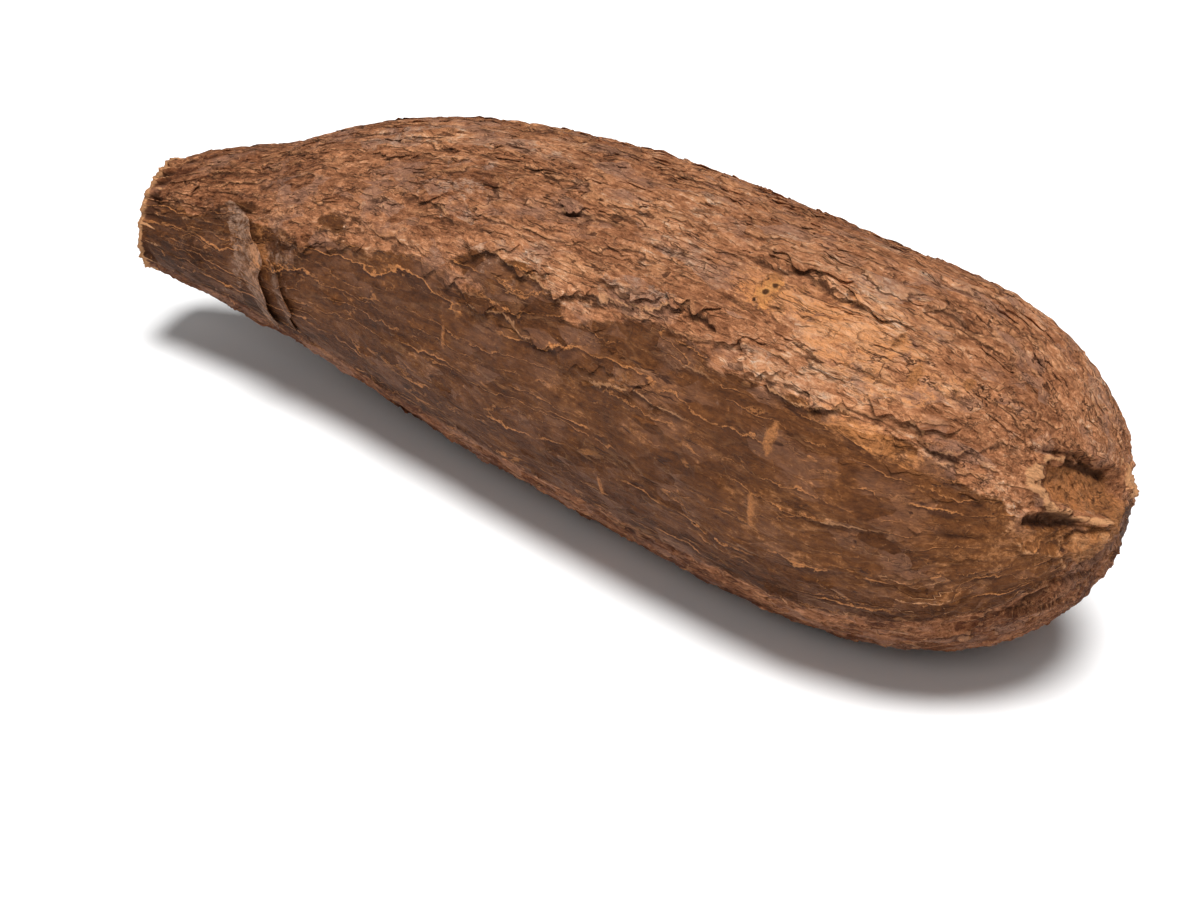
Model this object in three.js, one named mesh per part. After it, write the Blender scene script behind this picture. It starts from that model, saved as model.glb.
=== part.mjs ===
// Whole cassava root, lying on its belly: a tapering, gently bowed body with
// a cut neck at one end and a blunt, scarred tail at the other.
// Millimetres, +Z up, +X from the neck towards the tail.
import * as THREE from 'three';

// ---------------------------------------------------------------- dimensions
// The body at stations from the neck on: distance along the root, how far its
// middle is bowed towards +Y, and its radius there.
const STATIONS = [
  [0, 0, 13.0],
  [12, 4.2, 16.2],
  [28, 7.8, 20.4],
  [44, 10.8, 24.4],
  [62, 13.6, 29.4],
  [86, 15.6, 34.4],
  [110, 15.2, 37.6],
  [134, 13.4, 39.2],
  [162, 9.4, 40.0],
  [192, 3.8, 39.8],
  [214, 0.8, 39.2],
];

const TAIL_LENGTH = 63;         // rounded tail beyond the last station
const TAIL_FULLNESS = 2.25;     // 2 is an ellipse, more is blunter
const TAIL_LIFT = 1;            // how far the tail's tip turns up
const BELLY_MIDDLE = 158;       // where along the root the belly touches
const NECK_RISE = 0.0009;       // per mm: lift of the belly, times distance
const TAIL_RISE = 0.0005;       //   squared, on the neck and the tail side
const BELLY_FLAT = 1.7;         // depth of belly pressed flat by its weight

const BODY_RINGS = 50;          // rings between the neck and the last station
const TAIL_RINGS = 22;          // rings over the rounded tail
const AROUND = 52;              // points on each ring

const NECK_TILT = 0.16;         // slope of the knife cut across the neck
const NECK_DISH = 2.2;          // how far the cut face dips inside its peel rim
const PEEL_RIM = 0.84;          // inner edge of the peel rim, share of the radius

// Broad swellings (mm, height above zero) and sags (below zero) of the body:
// distance along the root, angle from the top towards -Y in degrees, reach
// along the root, reach around it in degrees, height.
const SWELLINGS = [
  [22, 10, 16, 60, 0.8],
  [40, 130, 22, 40, -1.0],
  [74, -20, 30, 50, 0.5],
  [88, 75, 20, 30, -0.8],
  [128, 40, 30, 36, 0.8],
  [150, 120, 34, 28, 0.7],
  [176, 88, 26, 22, -0.9],
  [205, 20, 30, 40, 0.7],
  [214, 130, 24, 30, 0.9],
  [120, -110, 40, 36, 0.9],
  [190, -80, 34, 34, -0.9],
  [60, -140, 26, 40, 0.7],
];

// Scar hollows on the tail, seen end-on: distance from the tail's axis towards
// -Y and up, half length, half width, turn of the long side up from level in
// degrees, depth.
const SCARS = [
  [5, 9, 9.5, 4.6, 25, 2.8],
  [12, 6, 7, 3, 20, 1.9],
  [4, -2.5, 4.5, 4, 0, 1.0],
  [-16, 5, 5, 6, -30, 1.3],
];

const STUB_HEIGHT = 2.4;        // what is left of the thin tail root
const STUB_REACH = 4.2;

// ---------------------------------------------------------------- the middle
const profile = new THREE.CatmullRomCurve3(
  STATIONS.map(([along, bow, radius]) => new THREE.Vector3(along, bow, radius)),
  false,
  'centripetal',
);

/** Middle point and radius of the body at a share (0..1) of its stations. */
function bodyAt(share) {
  const point = profile.getPoint(share);
  const bend = point.x < BELLY_MIDDLE ? NECK_RISE : TAIL_RISE;
  const rise = bend * (point.x - BELLY_MIDDLE) ** 2;
  return {
    middle: new THREE.Vector3(point.x, point.y, point.z + rise - BELLY_FLAT),
    radius: point.z,
  };
}

/** Direction of the middle line at a share of the stations. */
function headingAt(share) {
  const before = bodyAt(Math.max(share - 0.01, 0)).middle;
  const after = bodyAt(Math.min(share + 0.01, 1)).middle;
  return after.sub(before).normalize();
}

/** Soft bump, 1 at the middle and fading to nothing with distance. */
function fade(distanceSquared) {
  return Math.exp(-1.5 * distanceSquared);
}

/** Angle difference wrapped to -180..180 degrees. */
function wrapped(degrees) {
  return ((degrees + 540) % 360) - 180;
}

/** Height of the broad swellings at a place on the skin. */
function swelling(along, degrees) {
  let height = 0;
  for (const [x, angle, reach, spread, rise] of SWELLINGS) {
    const u = (along - x) / reach;
    const v = wrapped(degrees - angle) / spread;
    height += rise * fade(u * u + v * v);
  }
  return height;
}

/** Height of the stub less the depth of the scars, at a place on the tail. */
function tailRelief(radius, degrees) {
  let height = STUB_HEIGHT * fade((radius / STUB_REACH) ** 2);
  const angle = THREE.MathUtils.degToRad(degrees);
  const across = radius * Math.sin(angle);
  const up = radius * Math.cos(angle);
  for (const [scarAcross, scarUp, length, width, turn, depth] of SCARS) {
    const tilt = THREE.MathUtils.degToRad(turn);
    const a = across - scarAcross;
    const b = up - scarUp;
    const u = (a * Math.cos(tilt) + b * Math.sin(tilt)) / length;
    const v = (b * Math.cos(tilt) - a * Math.sin(tilt)) / width;
    height -= depth * fade(u * u + v * v);
  }
  return height;
}

// --------------------------------------------------------------- the surface
const positions = [];
const triangles = [];

/** Adds a point, pressed flat where it would pass through the floor. */
function addPoint(point) {
  positions.push(point.x, point.y, Math.max(point.z, 0));
  return positions.length / 3 - 1;
}

/** Adds one ring of points; degrees run from the top towards -Y. */
function addRing(middle, heading, reachAt) {
  const side = new THREE.Vector3(0, 0, 1).cross(heading).normalize();
  const top = new THREE.Vector3().crossVectors(heading, side);
  const ring = [];
  for (let i = 0; i < AROUND; i += 1) {
    const degrees = (i * 360) / AROUND;
    const angle = THREE.MathUtils.degToRad(degrees);
    const out = top.clone().multiplyScalar(Math.cos(angle));
    out.addScaledVector(side, -Math.sin(angle));
    const { reach, shift } = reachAt(degrees, out);
    const point = middle.clone().addScaledVector(out, reach);
    point.addScaledVector(heading, shift);
    ring.push(addPoint(point));
  }
  return ring;
}

/** Joins two rings of points with a band of triangles facing out. */
function joinRings(first, second) {
  for (let i = 0; i < AROUND; i += 1) {
    const j = (i + 1) % AROUND;
    triangles.push(first[i], first[j], second[j]);
    triangles.push(first[i], second[j], second[i]);
  }
}

/** Slope of the knife cut: the top of the neck is cut further in. */
function cutShift(out, reach) {
  return NECK_TILT * reach * (out.z - 0.5 * out.y);
}

const neck = bodyAt(0);
const neckHeading = headingAt(0);

// Cut face: a point in the dish, two rings inside it and the peel rim.
const dish = addPoint(neck.middle.clone().addScaledVector(neckHeading, NECK_DISH));
const faceRings = [[0.45, 0.95], [PEEL_RIM, 0.6]].map(([share, dip]) => (
  addRing(neck.middle, neckHeading, (degrees, out) => {
    const reach = share * (neck.radius + swelling(0, degrees));
    return { reach, shift: cutShift(out, reach) + dip * NECK_DISH };
  })
));

const rings = [...faceRings];
for (let k = 0; k <= BODY_RINGS; k += 1) {
  const share = k / BODY_RINGS;
  const { middle, radius } = bodyAt(share);
  const ease = Math.max(1 - middle.x / 30, 0) ** 2;
  rings.push(addRing(middle, headingAt(share), (degrees, out) => {
    const reach = radius + swelling(middle.x, degrees);
    return { reach, shift: ease * cutShift(out, reach) };
  }));
}

const last = bodyAt(1);
const tailHeading = headingAt(1);
for (let k = 1; k <= TAIL_RINGS; k += 1) {
  const turn = (Math.PI / 2) * (k / (TAIL_RINGS + 0.5)) ** 0.94;
  const radius = last.radius * Math.cos(turn) ** (2 / TAIL_FULLNESS);
  const reachOut = TAIL_LENGTH * Math.sin(turn) ** (2 / TAIL_FULLNESS);
  const middle = last.middle.clone().addScaledVector(tailHeading, reachOut);
  middle.z += TAIL_LIFT * (reachOut / TAIL_LENGTH) ** 2;
  rings.push(addRing(middle, tailHeading, (degrees) => {
    const soft = swelling(middle.x, degrees) * Math.cos(turn);
    const relief = tailRelief(radius, degrees);
    return {
      reach: Math.max(radius + soft + relief * Math.cos(turn), 0.3),
      shift: relief * Math.sin(turn),
    };
  }));
}
const tipReach = TAIL_LENGTH + tailRelief(0, 0);
const tip = addPoint(last.middle.clone().addScaledVector(tailHeading, tipReach));

for (let i = 0; i < AROUND; i += 1) {
  const j = (i + 1) % AROUND;
  triangles.push(dish, rings[0][j], rings[0][i]);
  triangles.push(tip, rings.at(-1)[i], rings.at(-1)[j]);
}
for (let k = 0; k + 1 < rings.length; k += 1) {
  joinRings(rings[k], rings[k + 1]);
}

// ------------------------------------------------------------------ the part
const geometry = new THREE.BufferGeometry();
geometry.setAttribute('position', new THREE.Float32BufferAttribute(positions, 3));
geometry.setIndex(triangles);
geometry.computeBoundingBox();
const { min, max } = geometry.boundingBox;
geometry.translate(-(min.x + max.x) / 2, -(min.y + max.y) / 2, -min.z);
geometry.computeVertexNormals();

const peel = new THREE.MeshStandardMaterial({ color: '#7a4f35', roughness: 0.85, metalness: 0 });
const root = new THREE.Mesh(geometry, peel);
root.name = 'cassava_root';

const group = new THREE.Group();
group.name = 'cassava';
group.add(root);

export default group;
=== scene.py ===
"""Looks of a whole cassava root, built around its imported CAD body.

The CAD body gives the root's form. A finer skin is wrapped over it, and the
skin is roughened into bark: shingled layers, torn lips, scars and wrinkles.
Lengths named *_MM or said to be millimetres are in millimetres, everything
handed to Blender is in metres.
"""

import itertools
import logging
import math
from dataclasses import dataclass, field
from enum import Enum

import bmesh
import bpy
import numpy as np
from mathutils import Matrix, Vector
from mathutils.bvhtree import BVHTree

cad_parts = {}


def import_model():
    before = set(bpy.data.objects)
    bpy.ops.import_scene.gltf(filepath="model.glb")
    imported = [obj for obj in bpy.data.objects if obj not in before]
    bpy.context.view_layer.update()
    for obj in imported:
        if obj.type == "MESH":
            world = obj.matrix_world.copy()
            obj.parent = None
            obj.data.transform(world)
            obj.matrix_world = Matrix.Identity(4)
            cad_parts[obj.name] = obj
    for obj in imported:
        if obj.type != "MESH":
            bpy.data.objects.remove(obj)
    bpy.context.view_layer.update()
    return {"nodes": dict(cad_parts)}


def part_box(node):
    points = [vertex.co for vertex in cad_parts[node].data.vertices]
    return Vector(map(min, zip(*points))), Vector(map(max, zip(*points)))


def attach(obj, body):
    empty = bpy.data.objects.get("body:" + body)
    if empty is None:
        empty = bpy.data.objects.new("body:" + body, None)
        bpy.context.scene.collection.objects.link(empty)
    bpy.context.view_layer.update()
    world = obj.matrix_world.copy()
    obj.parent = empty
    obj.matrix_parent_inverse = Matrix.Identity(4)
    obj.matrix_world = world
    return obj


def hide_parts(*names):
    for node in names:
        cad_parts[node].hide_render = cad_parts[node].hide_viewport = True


log = logging.getLogger("cassava")

MM = 0.001
NODE = "cassava_root"


class Zone(Enum):
    """Names of the values stored on the skin's points for its material."""

    GRAIN = "grain"        # place on the straightened root: along, across, up
    BARK = "bark"          # 1 on thick bark, 0 on the smoother lower layer
    DRIFT = "drift"        # how far the bark's layers wander, in layers
    RIFT = "rift"          # signed distance below the nearest torn lip, mm
    TORN = "torn"          # strength of that lip
    # painted shade in deep dents, creases, torn cells and on the shaded sides of tail scars, which
    # also get dark fibre streaks
    HOLLOW_SHADE = "hollow"      # dents, cracks and pits
    BLOOM = "bloom"        # dusty grey skin
    AMBER = "amber"        # bare orange skin
    TAN = "tan"            # corky scar tissue
    CREAM = "cream"        # pale rims of scars and of the cut
    WOOD = "wood"          # dried cut face of the neck
    # also painted shade on the underside and towards the neck end, and lighter low on the -Y side
    # by the tail
    TONE_AND_SHADE = "tone"          # how much lighter or darker a loose flake is


# ---------------------------------------------------------------------- noise


class Noise:
    """Seeded noise over points in space, for the relief of the bark."""

    def __init__(self, seed: int) -> None:
        """Keeps the seed that makes this noise differ from others."""
        self.seed = seed

    def _share(self, cells: np.ndarray, salt: int) -> np.ndarray:
        """Random share (0 to 1) of each whole-numbered cell.

        Args:
            cells: N by 3 whole numbers.
            salt: picks one of several independent values per cell.

        Returns:
            N shares.
        """
        mixed = cells[:, 0] * 73856093
        mixed = mixed ^ (cells[:, 1] * 19349663)
        mixed = mixed ^ (cells[:, 2] * 83492791)
        mixed = (mixed ^ (self.seed * 7919 + salt * 104729)) & 0xFFFFFFFF
        for _ in range(3):
            mixed = ((mixed ^ (mixed >> 16)) * 0x45D9F3B) & 0xFFFFFFFF
        return ((mixed ^ (mixed >> 16)) & 0xFFFFFF) / float(0x1000000)

    def smooth(self, points: np.ndarray) -> np.ndarray:
        """Gradient noise, about -1 to 1, with features about 1 unit wide.

        Args:
            points: places to read it at, N by 3.

        Returns:
            one value per point.
        """
        base = np.floor(points).astype(np.int64)
        local = points - base
        ease = local**3 * (local * (local * 6 - 15) + 10)
        total = np.zeros(len(points))
        for corner in itertools.product((0, 1), repeat=3):
            step = np.array(corner)
            cell = base + step
            slope = np.stack([self._share(cell, salt) for salt in (1, 2, 3)], axis=1)
            weight = np.prod(np.where(step == 1, ease, 1 - ease), axis=1)
            total += weight * np.sum((slope * 2 - 1) * (local - step), axis=1)
        return total * 1.7

    def layered(self, points: np.ndarray, octaves: int = 4, gain: float = 0.5) -> np.ndarray:
        """Gradient noise with finer and finer detail added.

        Args:
            points: places to read it at, N by 3.
            octaves: how many layers.
            gain: size of a layer against the one before.

        Returns:
            one value per point.
        """
        total = np.zeros(len(points))
        size, reach = 1.0, 0.0
        for octave in range(octaves):
            total += size * self.smooth(points * 2.03**octave + 17.3 * octave)
            reach += size
            size *= gain
        return total / reach * 1.35

    def cells(self, points: np.ndarray) -> tuple[np.ndarray, np.ndarray]:
        """Splits space into random cells.

        Args:
            points: places to read them at, N by 3.

        Returns:
            distance from each point to its cell's edge, and the cell's share.
        """
        base = np.floor(points).astype(np.int64)
        nearest = np.full(len(points), 9.0)
        second = np.full(len(points), 9.0)
        share = np.zeros(len(points))
        for corner in itertools.product((-1, 0, 1), repeat=3):
            cell = base + np.array(corner)
            seed_point = np.stack([self._share(cell, salt) for salt in (4, 5, 6)], axis=1)
            gap = np.linalg.norm(points - cell - seed_point, axis=1)
            closer = gap < nearest
            second = np.where(closer, nearest, np.minimum(second, gap))
            share = np.where(closer, self._share(cell, 7), share)
            nearest = np.where(closer, gap, nearest)
        return second - nearest, share


def ramp(value: np.ndarray, low: float, high: float) -> np.ndarray:
    """Smooth step from 0 at low to 1 at high; high may lie below low."""
    share = np.clip((value - low) / (high - low), 0.0, 1.0)
    return share * share * (3 - 2 * share)


def wrapped(degrees: np.ndarray) -> np.ndarray:
    """Angle differences wrapped to -180 to 180 degrees."""
    return (degrees + 180.0) % 360.0 - 180.0


# ------------------------------------------------------------- small helpers


def only(obj: bpy.types.Object) -> None:
    """Makes obj the one selected and active object.

    Args:
        obj: object to select.
    """
    bpy.ops.object.select_all(action="DESELECT")
    obj.select_set(True)
    bpy.context.view_layer.objects.active = obj


def points_of(obj: bpy.types.Object) -> np.ndarray:
    """All points of a mesh object, N by 3.

    Args:
        obj: mesh object.

    Returns:
        the points, in metres.
    """
    flat = np.empty(len(obj.data.vertices) * 3)
    obj.data.vertices.foreach_get("co", flat)
    return flat.reshape(-1, 3)


def place_points(obj: bpy.types.Object, points: np.ndarray) -> None:
    """Moves a mesh object's points."""
    obj.data.vertices.foreach_set("co", points.astype(np.float32).ravel())
    obj.data.update()


def normals_of(obj: bpy.types.Object) -> np.ndarray:
    """Direction out of the surface at every point, N by 3.

    Args:
        obj: mesh object.

    Returns:
        one direction of length 1 per point.
    """
    flat = np.empty(len(obj.data.vertices) * 3, dtype=np.float32)
    obj.data.vertex_normals.foreach_get("vector", flat)
    return flat.reshape(-1, 3).astype(float)


# ------------------------------------------------------------- the CAD's form


@dataclass
class Form:
    """The CAD body as a smooth shape that rays can be cast at.

    Attributes:
        node: the CAD node's object.
        low: lowest corner of its box, metres.
        high: highest corner of its box, metres.
    """

    node: bpy.types.Object
    low: Vector
    high: Vector
    rounding: int = 2              # subdivision levels that take the facets off
    rim_turn: float = 0.9          # radians: the knife cut's edge is this sharp
    rim_reach_mm: float = 20.0     # the cut's edge lies this near the neck end
    slices: int = 44               # places at which the middle line is measured
    bends: int = 6                 # order of the curve through them

    def __post_init__(self) -> None:
        """Copies and rounds the node, then finds its middle and its cut."""
        only(self.node)
        bpy.ops.object.duplicate()
        copy = bpy.context.active_object
        copy.name = "form_copy"
        bpy.ops.object.mode_set(mode="EDIT")
        bpy.ops.mesh.select_all(action="SELECT")
        bpy.ops.mesh.remove_doubles(threshold=1e-6)
        bpy.ops.mesh.select_all(action="DESELECT")
        bpy.ops.mesh.select_mode(type="EDGE")
        bpy.ops.mesh.edges_select_sharp(sharpness=self.rim_turn)
        bpy.ops.transform.edge_crease(value=1.0)
        bpy.ops.object.mode_set(mode="OBJECT")
        rim = self._rim_points(copy)
        bpy.ops.object.modifier_add(type="SUBSURF")
        copy.modifiers[-1].levels = self.rounding
        copy.modifiers[-1].render_levels = self.rounding
        bpy.ops.object.modifier_apply(modifier=copy.modifiers[-1].name)
        shape = bmesh.new()
        shape.from_mesh(copy.data)
        self.tree = BVHTree.FromBMesh(shape)
        shape.free()
        bpy.ops.object.delete()
        self.cut_middle = rim.mean(axis=0)
        normal = np.linalg.svd(rim - self.cut_middle)[2][2]
        self.cut_normal = normal * np.sign(normal[0])
        self._measure_middle()
        log.info("form: %d rim points, cut at %s mm", len(rim), (self.cut_middle / MM).round(1))

    def _rim_points(self, copy: bpy.types.Object) -> np.ndarray:
        """Points on the sharp edge around the neck's knife cut.

        Args:
            copy: merged copy of the CAD node.

        Returns:
            the points, N by 3.
        """
        points = points_of(copy)
        shape = bmesh.new()
        shape.from_mesh(copy.data)
        found = set()
        for edge in shape.edges:
            if len(edge.link_faces) == 2 and edge.calc_face_angle() > self.rim_turn:
                found.update(vertex.index for vertex in edge.verts)
        shape.free()
        sharp = points[sorted(found)]
        return sharp[sharp[:, 0] < self.low.x + self.rim_reach_mm * MM]

    def hit(self, start: np.ndarray, heading: np.ndarray) -> np.ndarray | None:
        """First place that a ray from inside meets the surface."""
        place = self.tree.ray_cast(Vector(start), Vector(heading))[0]
        return None if place is None else np.array(place)

    def _measure_middle(self) -> None:
        """Fits curves to the middle of the body's cross-sections."""
        first = self.low.x + 14 * MM
        last = self.high.x - 24 * MM
        along = np.linspace(first, last, self.slices)
        middles = []
        y, z = float(self.cut_middle[1]), float(self.cut_middle[2])
        for x in along:
            for _ in range(3):
                sides = [self.hit((x, y, z), (0, turn, 0)) for turn in (1, -1)]
                y = (sides[0][1] + sides[1][1]) / 2
                ends = [self.hit((x, y, z), (0, 0, turn)) for turn in (1, -1)]
                z = (ends[0][2] + ends[1][2]) / 2
            middles.append((y, z))
        middles = np.array(middles)
        span = along - along.mean()
        self._mean_x = along.mean()
        self._curves = [np.polyfit(span, middles[:, k], self.bends) for k in (0, 1)]
        self._ends = (first, last)

    def middle(self, x: np.ndarray) -> np.ndarray:
        """Middle of the cross-sections at x, carried on straight past the ends.

        Args:
            x: places along X, in metres.

        Returns:
            x, y and z of each middle, in the last axis.
        """
        inner = np.clip(x, *self._ends)
        rest = x - inner
        columns = [x]
        for curve in self._curves:
            value = np.polyval(curve, inner - self._mean_x)
            slope = np.polyval(np.polyder(curve), inner - self._mean_x)
            columns.append(value + slope * rest)
        return np.stack(columns, axis=-1)

    def heading(self, x: float) -> np.ndarray:
        """Direction of the middle line at x, towards the tail.

        Args:
            x: place along X, in metres.

        Returns:
            a direction of length 1.
        """
        step = 1 * MM
        ahead = self.middle(np.array(x + step)) - self.middle(np.array(x - step))
        return ahead / np.linalg.norm(ahead)


# ---------------------------------------------------------------- listed
# features. Distances along the root run from the neck's end of the CAD box,
# angles run from the top of the root towards -Y, where 90 is the side that
# faces -Y. Everything is in millimetres and degrees.


@dataclass(frozen=True)
class Lip:
    """The torn edge of a bark layer; the layer lies above it.

    Attributes:
        path: places along the root and angles around it.
        height: how far the edge stands off the layer below.
        reach: how far back the raised layer runs out.
    """

    path: tuple[tuple[float, float], ...]
    height: float
    reach: float = 9.0


@dataclass(frozen=True)
class Spot:
    """An oval place on the skin.

    Attributes:
        along: distance along the root.
        angle: angle around it.
        length: half length along the root.
        width: half width around it.
        rise: height; below zero for a dent.
        turn: degrees that the oval is turned on the skin.
    """

    along: float
    angle: float
    length: float
    width: float
    rise: float = 0.0
    turn: float = 0.0


@dataclass(frozen=True)
class TailScar:
    """A torn-off side root or bud on the tail, seen end-on.

    Attributes:
        across: distance from the tail's axis towards -Y.
        up: distance above the tail's axis.
        length: half length.
        width: half width.
        turn: degrees that the long side is turned up from level.
        depth: depth of the hollow.
        rim: height of the wall around it.
        pale: how pale the wall's near end is.
        dark: how dark the hollow's shaded side is.
        bare: how orange and corky its floor is.
    """

    across: float
    up: float
    length: float
    width: float
    turn: float
    depth: float
    rim: float
    pale: float = 0.3
    dark: float = 0.8
    bare: float = 0.8


LIPS = (
    Lip(((8, 53), (20, 54), (30, 57), (44, 62)), 0.6, 5),
    Lip(((8, 69), (18, 70), (26, 71), (34, 69)), 0.5, 4),
    Lip(((30, 38), (38, 36), (47, 33), (56, 33)), 0.5, 6),
    Lip(((130, 50), (134, 53), (146, 54), (160, 57), (169, 53), (178, 51)), 0.75),
    Lip(
        ((168, 56), (178, 51), (187, 50), (192, 45), (197, 44), (206, 47), (213, 47), (217, 50)),
        1.15
    ),
    Lip(((214, 46), (219, 52), (223, 57), (230, 57), (237, 55), (243, 54), (246, 51)), 0.75),
    Lip(
        ((243, 46), (246, 48), (251, 47), (255, 51), (258, 55), (263, 55), (268, 46), (271, 40)),
        1.0, 12
    ),
    Lip(((201, 19), (206, 21), (211, 20), (215, 17), (221, 19), (228, 22), (235, 24)), 1.0, 7),
    Lip(((145, 35), (149, 33), (153, 31), (157, 30), (160, 31)), 0.8, 5),
    Lip(((54, 76), (60, 73), (68, 70), (75, 68), (80, 67)), 0.6, 6),
    Lip(((120, 60), (128, 66), (136, 70), (146, 68), (154, 72), (163, 71), (171, 76)), 0.6, 7),
    Lip(((166, 78), (172, 74), (180, 76), (190, 72), (200, 75), (207, 74)), 0.6, 7),
    Lip(((185, 62), (191, 60), (199, 61), (206, 59), (212, 61)), 0.35, 6),
    Lip(((96, 40), (104, 43), (112, 42), (121, 46), (129, 45)), 0.5, 7),
    Lip(((78, 22), (86, 25), (95, 23), (103, 26)), 0.5, 6),
    Lip(((165, 14), (173, 17), (181, 15), (190, 18), (197, 17)), 0.45, 6),
    Lip(((232, 38), (238, 41), (243, 40), (247, 37)), 0.6, 7),
    Lip(((236, 8), (243, 11), (250, 10), (257, 14)), 0.55, 7),
    Lip(((246, 98), (250, 99), (255, 101), (260, 105), (266, 103)), 1.0, 6),
    Lip(((228, 112), (234, 111), (240, 110), (246, 112)), 1.1, 4),
    Lip(((222, 122), (230, 123), (238, 124), (247, 121)), 0.9, 4),
    Lip(((244, 119), (252, 117), (260, 120), (267, 116)), 1.0, 5),
    Lip(((252, 109), (258, 111), (264, 112), (270, 110)), 0.8, 4),
    Lip(((206, 104), (214, 106), (221, 105), (228, 107)), 0.6, 4),
    Lip(((232, 84), (240, 86), (249, 85), (257, 88)), 0.5, 5),
    Lip(((104, -40), (116, -44), (128, -41), (139, -46), (150, -43)), 0.8, 9),
    Lip(((172, -62), (184, -58), (196, -61), (207, -57), (219, -60)), 0.9, 10),
    Lip(((60, -100), (72, -96), (85, -101), (97, -97)), 0.6, 8),
    Lip(((128, -112), (141, -108), (155, -113), (168, -109)), 0.7, 9),
    Lip(((206, -128), (217, -124), (229, -129), (240, -125)), 0.7, 8),
    Lip(((84, 150), (96, 153), (109, 149), (121, 152)), 0.6, 8),
)

# The thick bark's lower edge: place along the root and angle around it.
BARK_EDGE = (
    (-20, 62), (40, 60), (80, 66), (120, 62), (146, 58), (187, 54),
    (213, 52), (223, 60), (244, 56), (262, 62), (300, 90),
)
SCAR = Spot(211, 29, 3.2, 5.4, 0.35, -20)         # bare orange scar with pits
PITS = (
    Spot(211.9, 27.6, 0.95, 0.95),
    Spot(211.0, 30.2, 1.00, 1.00),
    Spot(209.4, 34.4, 0.55, 0.55),
)
LENTICELS = (
    Spot(227, 68, 1.5, 4.0, 0.3, 6),
    Spot(224.5, 91, 1.3, 4.4, 0.3, 3),
    Spot(250, 36, 1.6, 3.6, 0.25, -8),
    Spot(243, 27, 1.4, 2.6, 0.25, 10),
    Spot(259, 30, 0.9, 2.0, 0.25, 4),
    Spot(128, 84, 0.8, 3.2, 0.25, 5),
    Spot(180, 108, 0.8, 3.0, 0.25, -4),
    Spot(118, -20, 0.9, 3.4, 0.3, 4),
    Spot(187, -84, 0.9, 3.6, 0.3, -6),
    Spot(231, -38, 0.8, 3.0, 0.25, 5),
    Spot(92, -70, 0.8, 3.2, 0.25, 3),
    Spot(150, 170, 0.8, 3.2, 0.25, -3),
)
DENTS = (
    Spot(202, 96, 9.0, 5.0, -0.45, 8),
    Spot(209.5, 88, 1.2, 1.2, 0.5),
    Spot(276.5, 128, 3.6, 1.6, -1.6, 10),
    Spot(240, 111, 5.0, 1.0, -0.9, 4),
    Spot(152, 31, 4.2, 0.9, -0.9, -12),
    Spot(232, 123, 5.5, 0.8, -0.7, 3),
    Spot(266, 84, 6.0, 0.8, -0.8, 0),
)
AMBERS = (
    Spot(234, 31, 25, 12, 0, 10),
    Spot(211, 30, 11, 7, 0, 0),
    Spot(246, 58, 13, 4.0, 0, 6),
    Spot(58, 78, 5, 8, 0, 0),
    Spot(75, 52, 0.9, 5, 0, 30),
    Spot(140, -70, 16, 9, 0, 10),
    Spot(215, -100, 18, 8, 0, -8),
)
BLOOMS = (
    Spot(52, 84, 5.5, 17, 0, 12),
    Spot(66, 82, 9, 11, 0, 0),
    Spot(186, 44, 7, 4, 0, 0),
    Spot(178, 38, 12, 7, 0, 0),
    Spot(223, 42, 10, 7, 0, 0),
    Spot(120, 30, 16, 9, 0, 0),
    Spot(84, 10, 14, 10, 0, 0),
    Spot(232, 14, 10, 6, 0, 0),
    Spot(128, 50, 14, 8, 0, 0),
    Spot(110, -60, 18, 12, 0, 0),
    Spot(190, -30, 16, 9, 0, 0),
    Spot(236, -80, 14, 9, 0, 0),
)
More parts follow.
